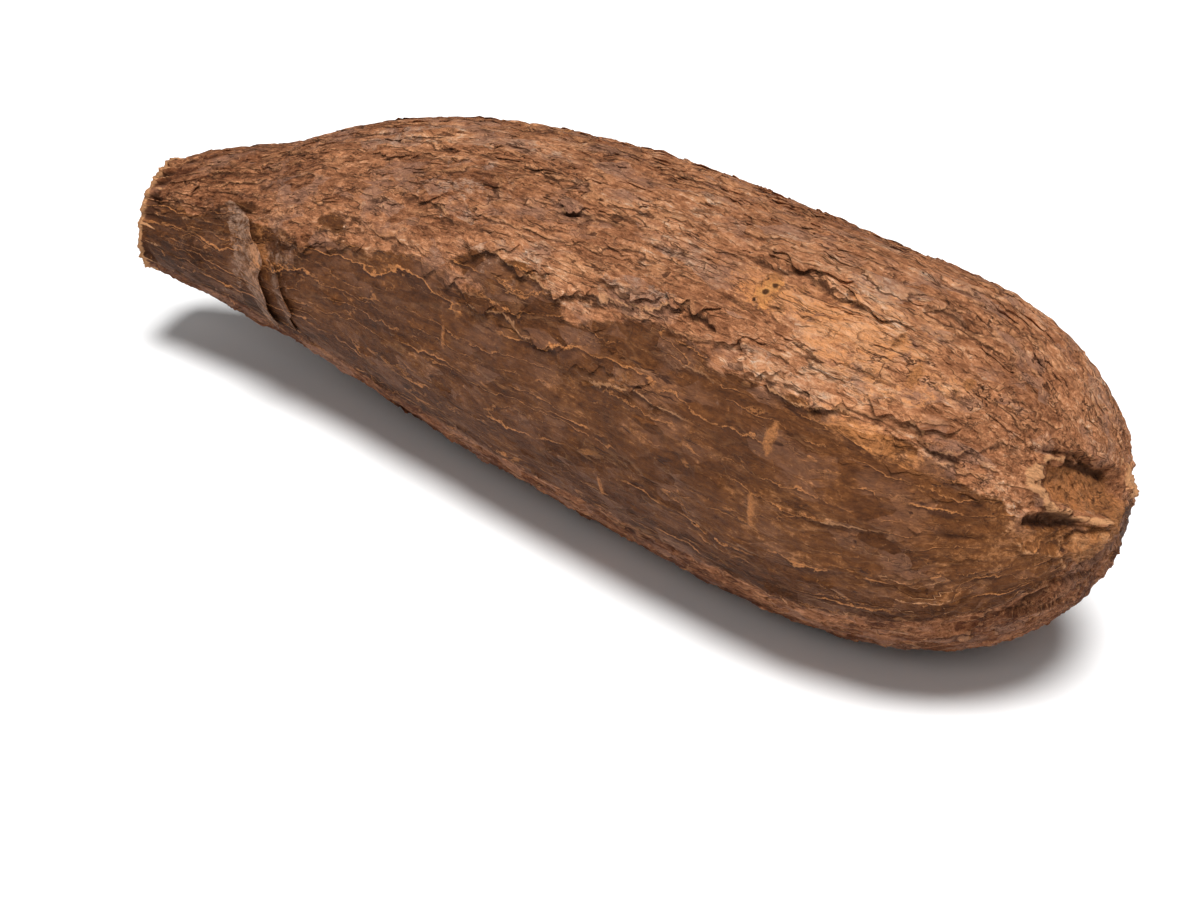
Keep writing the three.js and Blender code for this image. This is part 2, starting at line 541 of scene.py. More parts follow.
# Rows: place along, angle, half length, reach, lift, tone, grey, slant.
NECK_SCALES = (
    (43.5, 88, 15.0, 14.0, 2.3, 0.20, 1.9, 0.42),
    (58.0, 100, 9.0, 8.0, 1.2, 0.04, 1.4, 0.25),
    (24.0, 46, 4.0, 4.0, 0.9, 0.02, 0.2, 0.0),
    (92.0, 150, 9.0, 6.0, 1.0, 0.0, 0.4, 0.1),
    (40.0, -80, 11.0, 7.0, 1.3, 0.04, 0.8, 0.2),
)
LONG_SCALES = (
    (139.0, 45.0, 9.0, 6.0, 1.1, 0.02, 0.5, -0.06),
    (152.0, 48.5, 8.0, 5.0, 0.9, 0.05, 0.2, 0.02),
    (166.0, 46.0, 9.0, 6.5, 1.3, 0.0, 0.1, 0.08),
    (184.0, 43.5, 10.0, 4.6, 1.4, 0.06, 0.9, -0.03),
    (199.0, 38.0, 9.0, 5.0, 1.2, 0.02, 0.2, 0),
    (212.0, 40.5, 7.0, 5.4, 0.9, 0.05, 0.8, -0.08),
    (222.0, 45.5, 8.0, 5.6, 1.0, 0.02, 0.4, 0.05),
    (236.0, 47.5, 9.0, 5.0, 1.1, 0.0, 0.1, 0.04),
    (254.0, 42.0, 10.0, 6.0, 1.5, -0.03, 0.3, -0.06),
    (216.0, 12.5, 12.0, 4.0, 1.1, 0.0, 0.1, 0.02),
    (236.0, 17.0, 9.0, 4.0, 0.9, 0.0, 0.2, 0.08),
    (154.0, 25.5, 7.0, 3.6, 0.9, -0.02, 0.2, -0.03),
    (128.0, 58.0, 9.0, 5.0, 0.8, -0.02, 0.1, 0),
    (148.0, 62.0, 10.0, 5.0, 0.9, -0.04, 0.1, -0.08),
    (166.0, 65.0, 8.0, 4.6, 0.8, -0.02, 0.0, 0.05),
    (176.0, 68.0, 9.0, 4.4, 0.9, 0.0, 0.0, 0.04),
    (192.0, 66.0, 9.0, 4.4, 0.8, -0.02, 0.0, -0.06),
    (70.0, 62.0, 9.0, 5.5, 0.9, 0.0, 0.4, 0.02),
    (86.0, 60.0, 9.0, 5.0, 0.8, -0.02, 0.2, 0.08),
    (110.0, 36.0, 8.0, 5.0, 0.7, 0.02, 0.6, -0.03),
    (90.0, 20.0, 9.0, 4.4, 0.7, 0.0, 0.5, 0),
    (248.0, 96.0, 9.0, 4.0, 0.8, -0.02, 0.0, -0.08),
    (234.0, 106.0, 8.0, 3.6, 0.8, -0.04, 0.0, 0.05),
    (120.0, -47.0, 11.0, 5.0, 1.1, 0.02, 0.5, 0.04),
    (200.0, -66.0, 12.0, 5.6, 1.2, 0.0, 0.2, -0.06),
    (80.0, -106.0, 10.0, 5.0, 0.9, 0.0, 0.4, 0.02),
    (150.0, -118.0, 12.0, 5.4, 1.0, 0.0, 0.2, 0.08),
    (224.0, -134.0, 10.0, 5.0, 0.9, -0.02, 0.1, -0.03),
)
TAIL_SCARS = (
    TailScar(5.5, 8.0, 10.5, 5.4, 25, 1.9, 1.3, 1.25, 1.0, 0.95),
    TailScar(8.5, 14.5, 8.5, 1.6, 24, 0.7, 0.5, 0.2, 0.7, 0.3),
    TailScar(14.0, 1.6, 8.0, 4.0, 16, 1.5, 0.8, 0.50, 1.0, 0.25),
    TailScar(7.0, -3.6, 6.2, 4.2, 10, -0.6, 0.7, 0.42, 0.1, 0.8),
    TailScar(9.5, -9.5, 8.0, 1.2, 8, 0.9, 0.5, 0.4, 0.7, 0.5),
    TailScar(13.0, -15.5, 9.0, 1.1, 4, 0.8, 0.4, 0.2, 0.7, 0.2),
    TailScar(-9.0, 4.0, 4.8, 2.8, 70, -1.4, 0.2, 0.8, 0.0, 0.9),
    TailScar(-16.0, 1.0, 4.4, 4.0, -30, 0.8, 0.5, 0.5, 0.7, 0.7),
    TailScar(-6.0, -12.0, 4.0, 3.0, 20, 0.8, 0.4, 0.3, 0.7, 0.6),
)


# ------------------------------------------------------------------- the bark


@dataclass(frozen=True)
class Lap:
    """How bark layers lap: always edge down, on either side of a ridge line.

    Attributes:
        ridge: angle of the ridge line, from the top towards -Y.
        coarse: coarse layers in a full turn.
        fine: fine layers in a full turn.

    The shares of a turn on the two sides of the ridge line differ by a whole
    number of layers, so that the layers meet under the belly.
    """

    ridge: float = -40.0
    coarse: int = 36
    fine: int = 99


LAP = Lap()


@dataclass
class Bark:
    """Relief and colouring of the peel, worked out for every point of a skin.

    Attributes:
        along: distance of each point from the neck's end, mm.
        across: distance from the middle line towards -Y, mm.
        up: distance above the middle line, mm.
        face: 1 on the neck's cut face, 0 on the peel.
        rim: distance of each point from the neck's cut edge, mm.
    """

    along: np.ndarray
    across: np.ndarray
    up: np.ndarray
    face: np.ndarray
    rim: np.ndarray
    layer_rise: float = 0.85
    tail_from: float = 246.0
    values: dict[Zone, np.ndarray] = field(default_factory=dict)

    def __post_init__(self) -> None:
        """Works out the height and every stored value."""
        self.angle = np.degrees(np.arctan2(self.across, self.up))
        self.radius = np.maximum(np.hypot(self.across, self.up), 0.5)
        self.grain = np.stack([self.along, self.across, self.up], axis=1)
        self.height = np.zeros(len(self.along))
        for zone in Zone:
            self.values[zone] = np.zeros(len(self.along))
        self.values[Zone.GRAIN] = self.grain
        self._zones()
        self._swells()
        self._layers()
        self._lips()
        self._spots()
        self._wrinkles()
        self._tail()
        self._neck()

    def stretched(self, along: float, across: float) -> np.ndarray:
        """Places scaled so that one unit is the given size on the root."""
        return self.grain / np.array([along, across, across])

    def distance(self, spot: Spot) -> np.ndarray:
        """Distance from a spot's middle, 1 on its edge.

        Args:
            spot: spot to measure from.

        Returns:
            one value per point.
        """
        u = self.along - spot.along
        v = np.radians(wrapped(self.angle - spot.angle)) * self.radius
        tilt = math.radians(spot.turn)
        a = u * math.cos(tilt) + v * math.sin(tilt)
        b = v * math.cos(tilt) - u * math.sin(tilt)
        return np.hypot(a / spot.length, b / spot.width)

    def _mark(self, zone: Zone, value: np.ndarray) -> None:
        """Raises a stored value to at least the given one."""
        self.values[zone] = np.maximum(self.values[zone], value)

    def _zones(self) -> None:
        """Where the bark is thick and where the smoother layer is bare."""
        edge = np.interp(self.along, *np.array(BARK_EDGE, float).T)
        wander = Noise(11).layered(self.stretched(26, 12), 4, 0.6)
        below = (self.angle - edge) + 16 * wander
        front = (self.angle > -60) & (self.angle < 179.9)
        share = ramp(below, 6, -4)
        lower = ramp(self.angle, 128, 112)
        bark = np.where(front, np.maximum(share, 1 - lower), 1.0)
        back = Noise(12).layered(self.stretched(60, 26), 3, 0.5)
        bark = np.where(front, bark, ramp(back, -0.55, -0.1))
        patch = Noise(13).layered(self.stretched(38, 13), 4, 0.6)
        floor = 0.12 + 0.38 * ramp(patch, -0.1, 0.5)
        self.values[Zone.BARK] = np.clip(floor + (1 - floor) * bark, 0.0, 1.0)

    def _swells(self) -> None:
        """Soft unevenness of the whole root."""
        wide = Noise(21).layered(self.stretched(52, 24), 2, 0.5)
        close = Noise(22).layered(self.stretched(17, 8), 3, 0.5)
        self.height += 0.55 * wide + 0.22 * close

    def _layers(self) -> None:
        """Shingled layers that lap over each other down the sides."""
        bark = self.values[Zone.BARK]
        drift = 1.5 * Noise(31).layered(self.stretched(34, 11), 4, 0.55)
        _, share = Noise(32).cells(self.stretched(17, 7) + 0.3 * drift[:, None])
        drift += 1.2 * share
        self.values[Zone.DRIFT] = drift
        phase = (np.abs(self.angle - LAP.ridge) / 360.0 * LAP.coarse + drift) % 1.0
        saw = np.where(phase < 0.9, (phase / 0.9) ** 1.4, (1 - phase) / 0.1)
        fade = ramp(Noise(33).layered(self.stretched(22, 9), 3, 0.5), -0.4, 0.45)
        strength = self.layer_rise * (0.12 + 0.88 * bark) * (0.15 + 0.85 * fade)
        strength *= np.clip(self.radius / 26.0, 0.25, 1.0)
        self.height += strength * (saw - 0.4)
        gap, tone = Noise(34).cells(self.stretched(12, 3.8))
        self.height += bark * (0.34 * (tone - 0.5) - 0.35 * ramp(gap, 0.16, 0.0))
        knobs = Noise(35).layered(self.stretched(4.5, 2.4), 3, 0.6)
        self.height += (0.05 + 0.17 * bark) * knobs

    def _lips(self) -> None:
        """Torn edges of the bark, with the layer below laid bare."""
        rift = np.full(len(self.along), 9.0)
        torn = np.zeros(len(self.along))
        jitter = 1.5 * Noise(41).layered(self.stretched(13, 8), 4, 0.55)
        fine = 0.4 * Noise(42).layered(self.stretched(3.2, 2.2), 2, 0.5)
        for lip in LIPS:
            path = np.array(lip.path, float)
            middle = np.interp(self.along, path[:, 0], path[:, 1])
            below = np.radians(wrapped(self.angle - middle)) * self.radius + jitter + fine
            start, end = path[0, 0], path[-1, 0]
            inside = np.minimum(self.along - start, end - self.along)
            share = ramp(inside, -2.0, 7.0)
            raised = np.exp(-np.abs(np.minimum(below, 0)) / lip.reach)
            under = -0.3 * np.exp(-np.maximum(below, 0) / 1.6)
            blend = ramp(below, -0.45, 0.45)
            profile = raised * (1 - blend) + under * blend
            near = np.abs(below) < 30
            self.height += np.where(near, lip.height * share * profile, 0.0)
            score = lip.height * share
            better = (np.abs(below) < np.abs(rift)) & (share > 0.02)
            torn = np.where(better, score, torn)
            rift = np.where(better, below, rift)
        self.values[Zone.RIFT] = np.clip(rift, -6, 6)
        self.values[Zone.TORN] = torn

    def _spots(self) -> None:
        """Scar, lenticels, dents and patches of colour."""
        ragged = 0.22 * Noise(51).layered(self.stretched(5, 4), 3, 0.6)
        for spot in AMBERS:
            self._mark(Zone.AMBER, ramp(self.distance(spot) + 2.2 * ragged, 1.5, 0.1))
        for spot in BLOOMS:
            self._mark(Zone.BLOOM, ramp(self.distance(spot) + 2.2 * ragged, 1.5, 0.0))
        for spot in DENTS:
            depth = ramp(self.distance(spot) + 0.6 * ragged, 1.25, 0.15)
            self.height += spot.rise * depth
            # Deep dents are also marked for painted shade.
            if spot.rise < -0.5:
                self._mark(Zone.HOLLOW_SHADE, depth * min(1.0, -spot.rise))
        for spot in (*LENTICELS, SCAR):
            mound = ramp(self.distance(spot) + 0.5 * ragged, 1.15, 0.6)
            self.height += spot.rise * mound
            self._mark(Zone.TAN, mound)

    def _wrinkles(self) -> None:
        """Lengthwise folds of the shrunken skin, closest around the tail."""
        low = ramp(np.abs(self.angle), 96, 128) * ramp(self.along, 120, 200)
        tail = ramp(self.along, 206, 262)
        share = np.maximum(0.8 * low, tail)
        around = np.radians(self.angle)
        spin = np.stack([self.along / 34, 5.5 * np.cos(around), 5.5 * np.sin(around)], axis=1)
        fold = Noise(61).layered(spin, 3, 0.5)
        ridge = 1 - np.abs(fold) * 2.4
        size = np.clip(self.radius / 30.0, 0.12, 1.0)
        self.height += 0.5 * share * size * ridge
        crease = ramp(np.abs(fold), 0.07, 0.0) * share
        self.height -= 0.35 * crease * size
        # Painted shade in the creases.
        self._mark(Zone.HOLLOW_SHADE, 0.55 * crease)

    def _tail(self) -> None:
        """Scars and the stub left where side roots and the tail broke off."""
        near = ramp(self.along, self.tail_from + 6, self.tail_from + 14)
        ragged = 0.17 * Noise(71).layered(self.stretched(3.4, 3.4), 3, 0.6)
        fibre = Noise(73).layered(self.stretched(5, 1.3), 3, 0.6)
        for scar in TAIL_SCARS:
            tilt = math.radians(scar.turn)
            a = self.across - scar.across
            b = self.up - scar.up
            u = (a * math.cos(tilt) + b * math.sin(tilt)) / scar.length
            v = (b * math.cos(tilt) - a * math.sin(tilt)) / scar.width
            gap = np.hypot(u, v) + 1.5 * ragged
            floor = ramp(gap, 1.0, 0.62)
            wall = np.exp(-(((gap - 1.08) / 0.095) ** 2))
            pale = wall * ramp(u - 0.6 * v, -0.45, 0.70) * scar.pale
            if scar.depth < 0:
                pale = np.maximum(pale, floor * scar.pale)
            ribs = 0.55 * fibre * floor
            self.height += near * (scar.rim * wall - scar.depth * floor + ribs)
            if scar.depth > 0.6:
                self.height -= near * 0.9 * ramp(v, 0.15, 0.5) * floor
            self._mark(Zone.TAN, near * scar.bare * floor)
            self._mark(Zone.CREAM, near * pale)
            # Painted shadow on each hollow's shaded side, plus dark fibre streaks and a darker
            # floor where the scar is less bare.
            shade = floor * ramp(v, 0.22, 0.5) + 0.6 * floor * ramp(fibre, 0.05, 0.45)
            shade += 0.5 * floor * max(0.0, 0.7 - scar.bare)
            self._mark(Zone.HOLLOW_SHADE, near * np.clip(shade, 0, 1) * scar.dark)
        # Lighter low on the -Y side by the tail, taking back part of the painted shade that _neck
        # lays on the underside.
        below = ramp(self.along, 205, 245) * ramp(np.abs(self.angle - 106), 36, 14)
        self.values[Zone.TONE_AND_SHADE] += 0.14 * below
        stub = np.exp(-((self.radius / 4.6) ** 4)) * near
        knots = Noise(72).layered(self.stretched(1.9, 1.9), 3, 0.6)
        self.height += stub * (1.1 + 1.2 * knots)
        self._mark(Zone.CREAM, stub * 0.35)
        self._mark(Zone.TAN, stub)

    def _neck(self) -> None:
        """Ragged rim of peel round the cut, with torn cells behind it."""
        outer = 1 - self.face
        sway = Noise(81).layered(self.stretched(60, 9), 3, 0.6)
        turns = self.angle / 360.0 * 12 + 1.1 * sway
        beat = np.abs((turns % 1.0) - 0.5) * 2
        uneven = ramp(Noise(83).layered(self.stretched(60, 8), 2, 0.5), -0.35, 0.3)
        depth = 7.0 + 3.0 * uneven
        back = ramp(self.rim / depth, 1.0, 0.45)
        cell = ramp(beat, 0.80, 0.35) * ramp(self.rim, 2.0, 3.6) * back * outer
        cell *= 0.6 + 0.4 * uneven
        self.height -= 1.5 * cell
        ridge = ramp(beat, 0.78, 0.97) * ramp(self.rim, 13.0, 3.0) * outer
        self.height += 0.5 * ridge * (0.4 + 0.6 * uneven)
        rag = Noise(82).layered(self.stretched(2.6, 2.6), 3, 0.6)
        lip = ramp(self.rim, 3.6, 2.2) * outer
        self.height += lip * (0.45 + 0.55 * rag)
        # Painted shade: darker on the underside and towards the neck end.
        shade = 0.17 * ramp(self.along, 62, 8) + 0.32 * ramp(np.abs(self.angle - 8), 86, 120)
        shade += 0.07 * ramp(self.along, 160, 90)
        self.values[Zone.TONE_AND_SHADE] -= shade * outer
        self._mark(Zone.CREAM, np.maximum(1.25 * lip, ridge))
        self._mark(Zone.TAN, np.maximum(lip, 0.6 * ridge))
        # Painted shade in the torn cells.
        self._mark(Zone.HOLLOW_SHADE, cell)
        self.values[Zone.HOLLOW_SHADE] *= outer
        self.values[Zone.WOOD] = self.face
        self.height *= 1 - 0.75 * self.face


# ------------------------------------------------------------------- the skin


@dataclass
class Skin:
    """The fine mesh wrapped round the form.

    A cube is cut into a fine grid. Its four long sides become the body, one
    end the neck's cut face and the other the tip of the tail.
    """

    form: Form
    side_cells: int = 80           # cells across each side of the cube
    along_split: int = 3           # cells along the root per cell across
    tail_cap: float = 0.56         # radians of the tail made from the end face
    tail_centre_mm: float = 40.0   # tail rays spread from here, before the end
    tilt_run_mm: float = 26.0      # over which rings turn square to the root
    rim_inset_mm: float = 0.35     # the first ring lies this far behind the cut
    dish_mm: float = 2.0           # depth of the dried cut face
    strip_height: float = 0.785    # share of the texture that the body takes
    strip_margin: float = 0.006    # bare border round it
    neck_disc: tuple = (0.12, 0.893, 0.085)    # middle and radius on the texture
    tail_disc: tuple = (0.36, 0.893, 0.098)

    def build(self) -> bpy.types.Object:
        """Makes the skin, finished and ready to ride.

        Returns:
            the skin, named bark_skin.
        """
        obj = self._grid()
        spot = points_of(obj)
        self.size = np.maximum(np.abs(spot[:, 1]), np.abs(spot[:, 2]))
        self.turn = self._turns(spot)
        self.share = (spot[:, 0] + 1) / 2
        self.on_neck = (spot[:, 0] < -1 + 1e-6) & (self.size < 1 - 1e-6)
        self.on_tail = (spot[:, 0] > 1 - 1e-6) & (self.size < 1 - 1e-6)
        place_points(obj, self._wrap(len(spot)))
        only(obj)
        bpy.ops.object.mode_set(mode="EDIT")
        bpy.ops.mesh.select_all(action="SELECT")
        bpy.ops.mesh.normals_make_consistent(inside=False)
        bpy.ops.object.mode_set(mode="OBJECT")
        bpy.ops.object.shade_smooth()
        self._roughen(obj)
        self._lay_out(obj)
        log.info("skin: %d faces", len(obj.data.polygons))
        return obj

    def _grid(self) -> bpy.types.Object:
        """Cube cut into a fine grid, finer along X.

        Returns:
            the grid, still a cube from -1 to 1.
        """
        bpy.ops.mesh.primitive_cube_add(size=2.0)
        obj = bpy.context.active_object
        obj.name = "bark_skin"
        bpy.ops.object.mode_set(mode="EDIT")
        bpy.ops.mesh.select_all(action="SELECT")
        bpy.ops.mesh.subdivide(number_cuts=self.side_cells - 1)
        bpy.ops.mesh.select_all(action="DESELECT")
        bpy.ops.object.mode_set(mode="OBJECT")
        points = points_of(obj)
        pairs = np.empty(len(obj.data.edges) * 2, dtype=np.int64)
        obj.data.edges.foreach_get("vertices", pairs)
        pairs = pairs.reshape(-1, 2)
        run = np.abs(points[pairs[:, 0]] - points[pairs[:, 1]])
        lengthwise = (run[:, 1] < 1e-6) & (run[:, 2] < 1e-6)
        obj.data.edges.foreach_set("select", lengthwise)
        bpy.ops.object.mode_set(mode="EDIT")
        bpy.ops.mesh.select_mode(type="EDGE")
        bpy.ops.object.mode_set(mode="OBJECT")
        obj.data.edges.foreach_set("select", lengthwise)
        bpy.ops.object.mode_set(mode="EDIT")
        bpy.ops.mesh.subdivide(number_cuts=self.along_split - 1)
        bpy.ops.object.mode_set(mode="OBJECT")
        return obj

    def _turns(self, spot: np.ndarray) -> np.ndarray:
        """Angle around the root of each point of the cube, in degrees.

        Args:
            spot: points of the cube, N by 3.

        Returns:
            degrees from the top, one per point.
        """
        y, z = spot[:, 1], spot[:, 2]
        size = np.maximum(self.size, 1e-9)
        top = (z >= 0) & (np.abs(y) <= np.abs(z))
        bottom = (z < 0) & (np.abs(y) <= np.abs(z))
        near = ~top & ~bottom & (y < 0)
        turn = 270 + 45 * z / size
        turn = np.where(near, 90 - 45 * z / size, turn)
        turn = np.where(top, -45 * y / size, turn)
        turn = np.where(bottom, 180 + 45 * y / size, turn)
        return wrapped(turn)

    def _wrap(self, count: int) -> np.ndarray:
        """Casts every point of the cube onto the form.

        Args:
            count: number of points.

        Returns:
            the points on the form, N by 3.
        """
        form = self.form
        centre_x = form.high.x - self.tail_centre_mm * MM
        start_x = float(form.cut_middle[0])
        body = centre_x - start_x
        centre = form.middle(np.array(centre_x))
        tail_axis = form.heading(centre_x)
        reach = np.linalg.norm(form.hit(centre, (0, -1, 0)) - centre)
        tail = reach * (math.pi / 2 - self.tail_cap)
        points = np.zeros((count, 3))
        self.rim = np.zeros(count)
        frames: dict[float, tuple] = {}
        for i in range(count):
            if self.on_neck[i]:
                continue
            along = float(self.share[i]) * (body + tail)
            if along not in frames:
                frames[along] = self._frame(along, start_x, body, reach)
            start, heading, spread = frames[along]
            if self.on_tail[i]:
                spread = self.tail_cap * float(self.size[i])
                start, heading = centre, tail_axis
            out = self._out(heading, float(self.turn[i]))
            if spread is None:
                ray = self._square_ray(heading, out, along)
            else:
                ray = heading * math.cos(spread) + out * math.sin(spread)
            place = form.hit(start, ray)
            points[i] = start if place is None else place
            self.rim[i] = along / MM
        self._dish(points)
        return points

    def _frame(self, along: float, start_x: float, body: float, reach: float) -> tuple:
        """Start, heading and spread of the rays of one ring.

        Args:
            along: the ring's distance from the cut, in metres.
            start_x: x of the cut's middle.
            body: length from there to the centre of the round tail.
            reach: radius of the round tail.

        Returns:
            the three, where spread is None on the body.
        """
        if along <= body:
            x = start_x + max(along, self.rim_inset_mm * MM)
            return self.form.middle(np.array(x)), self.form.heading(x), None
        x = start_x + body
        spread = math.pi / 2 - (along - body) / reach
        return self.form.middle(np.array(x)), self.form.heading(x), spread

    def _out(self, heading: np.ndarray, degrees: float) -> np.ndarray:
        """Direction out of the root at an angle, square to its heading.

        Args:
            heading: direction of the middle line.
            degrees: angle from the top.

        Returns:
            a direction of length 1.
        """
        side = np.cross((0.0, 0.0, 1.0), heading)
        side /= np.linalg.norm(side)
        top = np.cross(heading, side)
        angle = math.radians(degrees)
        return top * math.cos(angle) - side * math.sin(angle)

    def _square_ray(self, heading: np.ndarray, out: np.ndarray, along: float) -> np.ndarray:
        """Ray within its ring's plane, which is the cut's plane at the neck.

        Args:
            heading: direction of the middle line.
            out: direction square to it.
            along: the ring's distance from the cut, in metres.

        Returns:
            a direction of length 1.
        """
        ease = max(1 - along / (self.tilt_run_mm * MM), 0.0) ** 2
        normal = self.form.cut_normal * ease + heading * (1 - ease)
        normal /= np.linalg.norm(normal)
        ray = out - heading * (np.dot(out, normal) / np.dot(heading, normal))
        return ray / np.linalg.norm(ray)

    def _dish(self, points: np.ndarray) -> None:
        """Lays the neck's cut face inside the first ring.

        Args:
            points: points on the form, changed in place.
        """
        ring = np.where((self.share < 1e-6) & ~self.on_neck)[0]
        order = ring[np.argsort(self.turn[ring])]
        turns = self.turn[order]
        middle = points[order].mean(axis=0)
        spokes = points[order] - middle
        face = np.where(self.on_neck)[0]
        for axis in range(3):
            spoke = np.interp(self.turn[face], turns, spokes[:, axis], period=360)
            points[face, axis] = middle[axis] + spoke * self.size[face]
        sink = np.clip((1 - self.size[face]) / 0.16, 0, 1) ** 0.6
        sink = sink * (0.7 + 0.3 * (1 - self.size[face] ** 2))
        points[face] += self.form.cut_normal * (sink * self.dish_mm * MM)[:, None]
        self.face = np.where(self.on_neck, np.clip((1 - self.size) / 0.08, 0, 1), 0.0)

    def _roughen(self, obj: bpy.types.Object) -> None:
        """Raises the bark's relief and stores its values on the points.

        Args:
            obj: the wrapped skin.
        """
        points = points_of(obj)
        middle = self.form.middle(points[:, 0])
        bark = Bark(
            along=(points[:, 0] - self.form.low.x) / MM,
            across=-(points[:, 1] - middle[:, 1]) / MM,
            up=(points[:, 2] - middle[:, 2]) / MM,
            face=self.face,
            rim=self.rim,
        )
        moved = points + normals_of(obj) * (bark.height * MM)[:, None]
        moved[:, 2] = np.maximum(moved[:, 2], 0.0)
        place_points(obj, moved)
        for zone, value in bark.values.items():
            self._store(obj, zone, value)

    def _store(self, obj: bpy.types.Object, zone: Zone, value: np.ndarray) -> None:
        """Keeps one value per point on the mesh.

        Args:
            obj: the skin.
            zone: what the value stands for.
            value: one number or vector per point.
        """
        kind = "FLOAT_VECTOR" if value.ndim == 2 else "FLOAT"
        layer = obj.data.attributes.new(zone.value, kind, "POINT")
        name = "vector" if value.ndim == 2 else "value"
        layer.data.foreach_set(name, value.astype(np.float32).ravel())

    def _lay_out(self, obj: bpy.types.Object) -> None:
        """Flattens the skin for textures: one strip and two round ends.

        Args:
            obj: the skin.
        """
        mesh = obj.data
        corner = np.empty(len(mesh.loops), dtype=np.int64)
        mesh.loops.foreach_get("vertex_index", corner)
        faces = corner.reshape(-1, 4)
        neck = self.on_neck[faces].any(axis=1)
        tail = self.on_tail[faces].any(axis=1)
        turn = self.turn[faces] + 180.0
        crossing = (turn.max(axis=1) - turn.min(axis=1)) > 180
        turn = np.where(crossing[:, None] & (turn < 90), turn + 360, turn)
        margin = self.strip_margin
        u = margin + self.share[faces] * (1 - 2 * margin)
        v = margin + turn / 360 * (self.strip_height - 2 * margin)
        angle = np.radians(self.turn[faces])
        for cap, (middle_u, middle_v, half) in ((neck, self.neck_disc), (tail, self.tail_disc)):
            x = middle_u + half * self.size[faces] * np.cos(angle)
            y = middle_v + half * self.size[faces] * np.sin(angle)
            u = np.where(cap[:, None], x, u)
            v = np.where(cap[:, None], y, v)
        layer = mesh.uv_layers.new(name="OFBake")
        flat = np.stack([u, v], axis=-1).astype(np.float32)
        layer.data.foreach_set("uv", flat.ravel())
        layer.active = True
        layer.active_render = True


# ------------------------------------------------------------- loose flakes


@dataclass(frozen=True)
class Flake:
    """One scale of bark. Lengths are millimetres.

    Attributes:
        ring: place along the skin's grid.
        row: place around the skin's grid.
        length: half length of the hinged edge.
        width: reach from the hinged edge to the lifted one.
        lift: height of the lifted edge.
        ruffle: slant of the hinge, then two random shares that shape the edge.
        tone: how much lighter or darker than the skin under it.
        grey: how dusty grey it is.
        upright: True for a flake whose hinge runs round the root.
    """

    ring: float
    row: float
    length: float
    width: float
    lift: float
    ruffle: tuple[float, float, float]
    tone: float
    grey: float = 0.0
    upright: bool = False


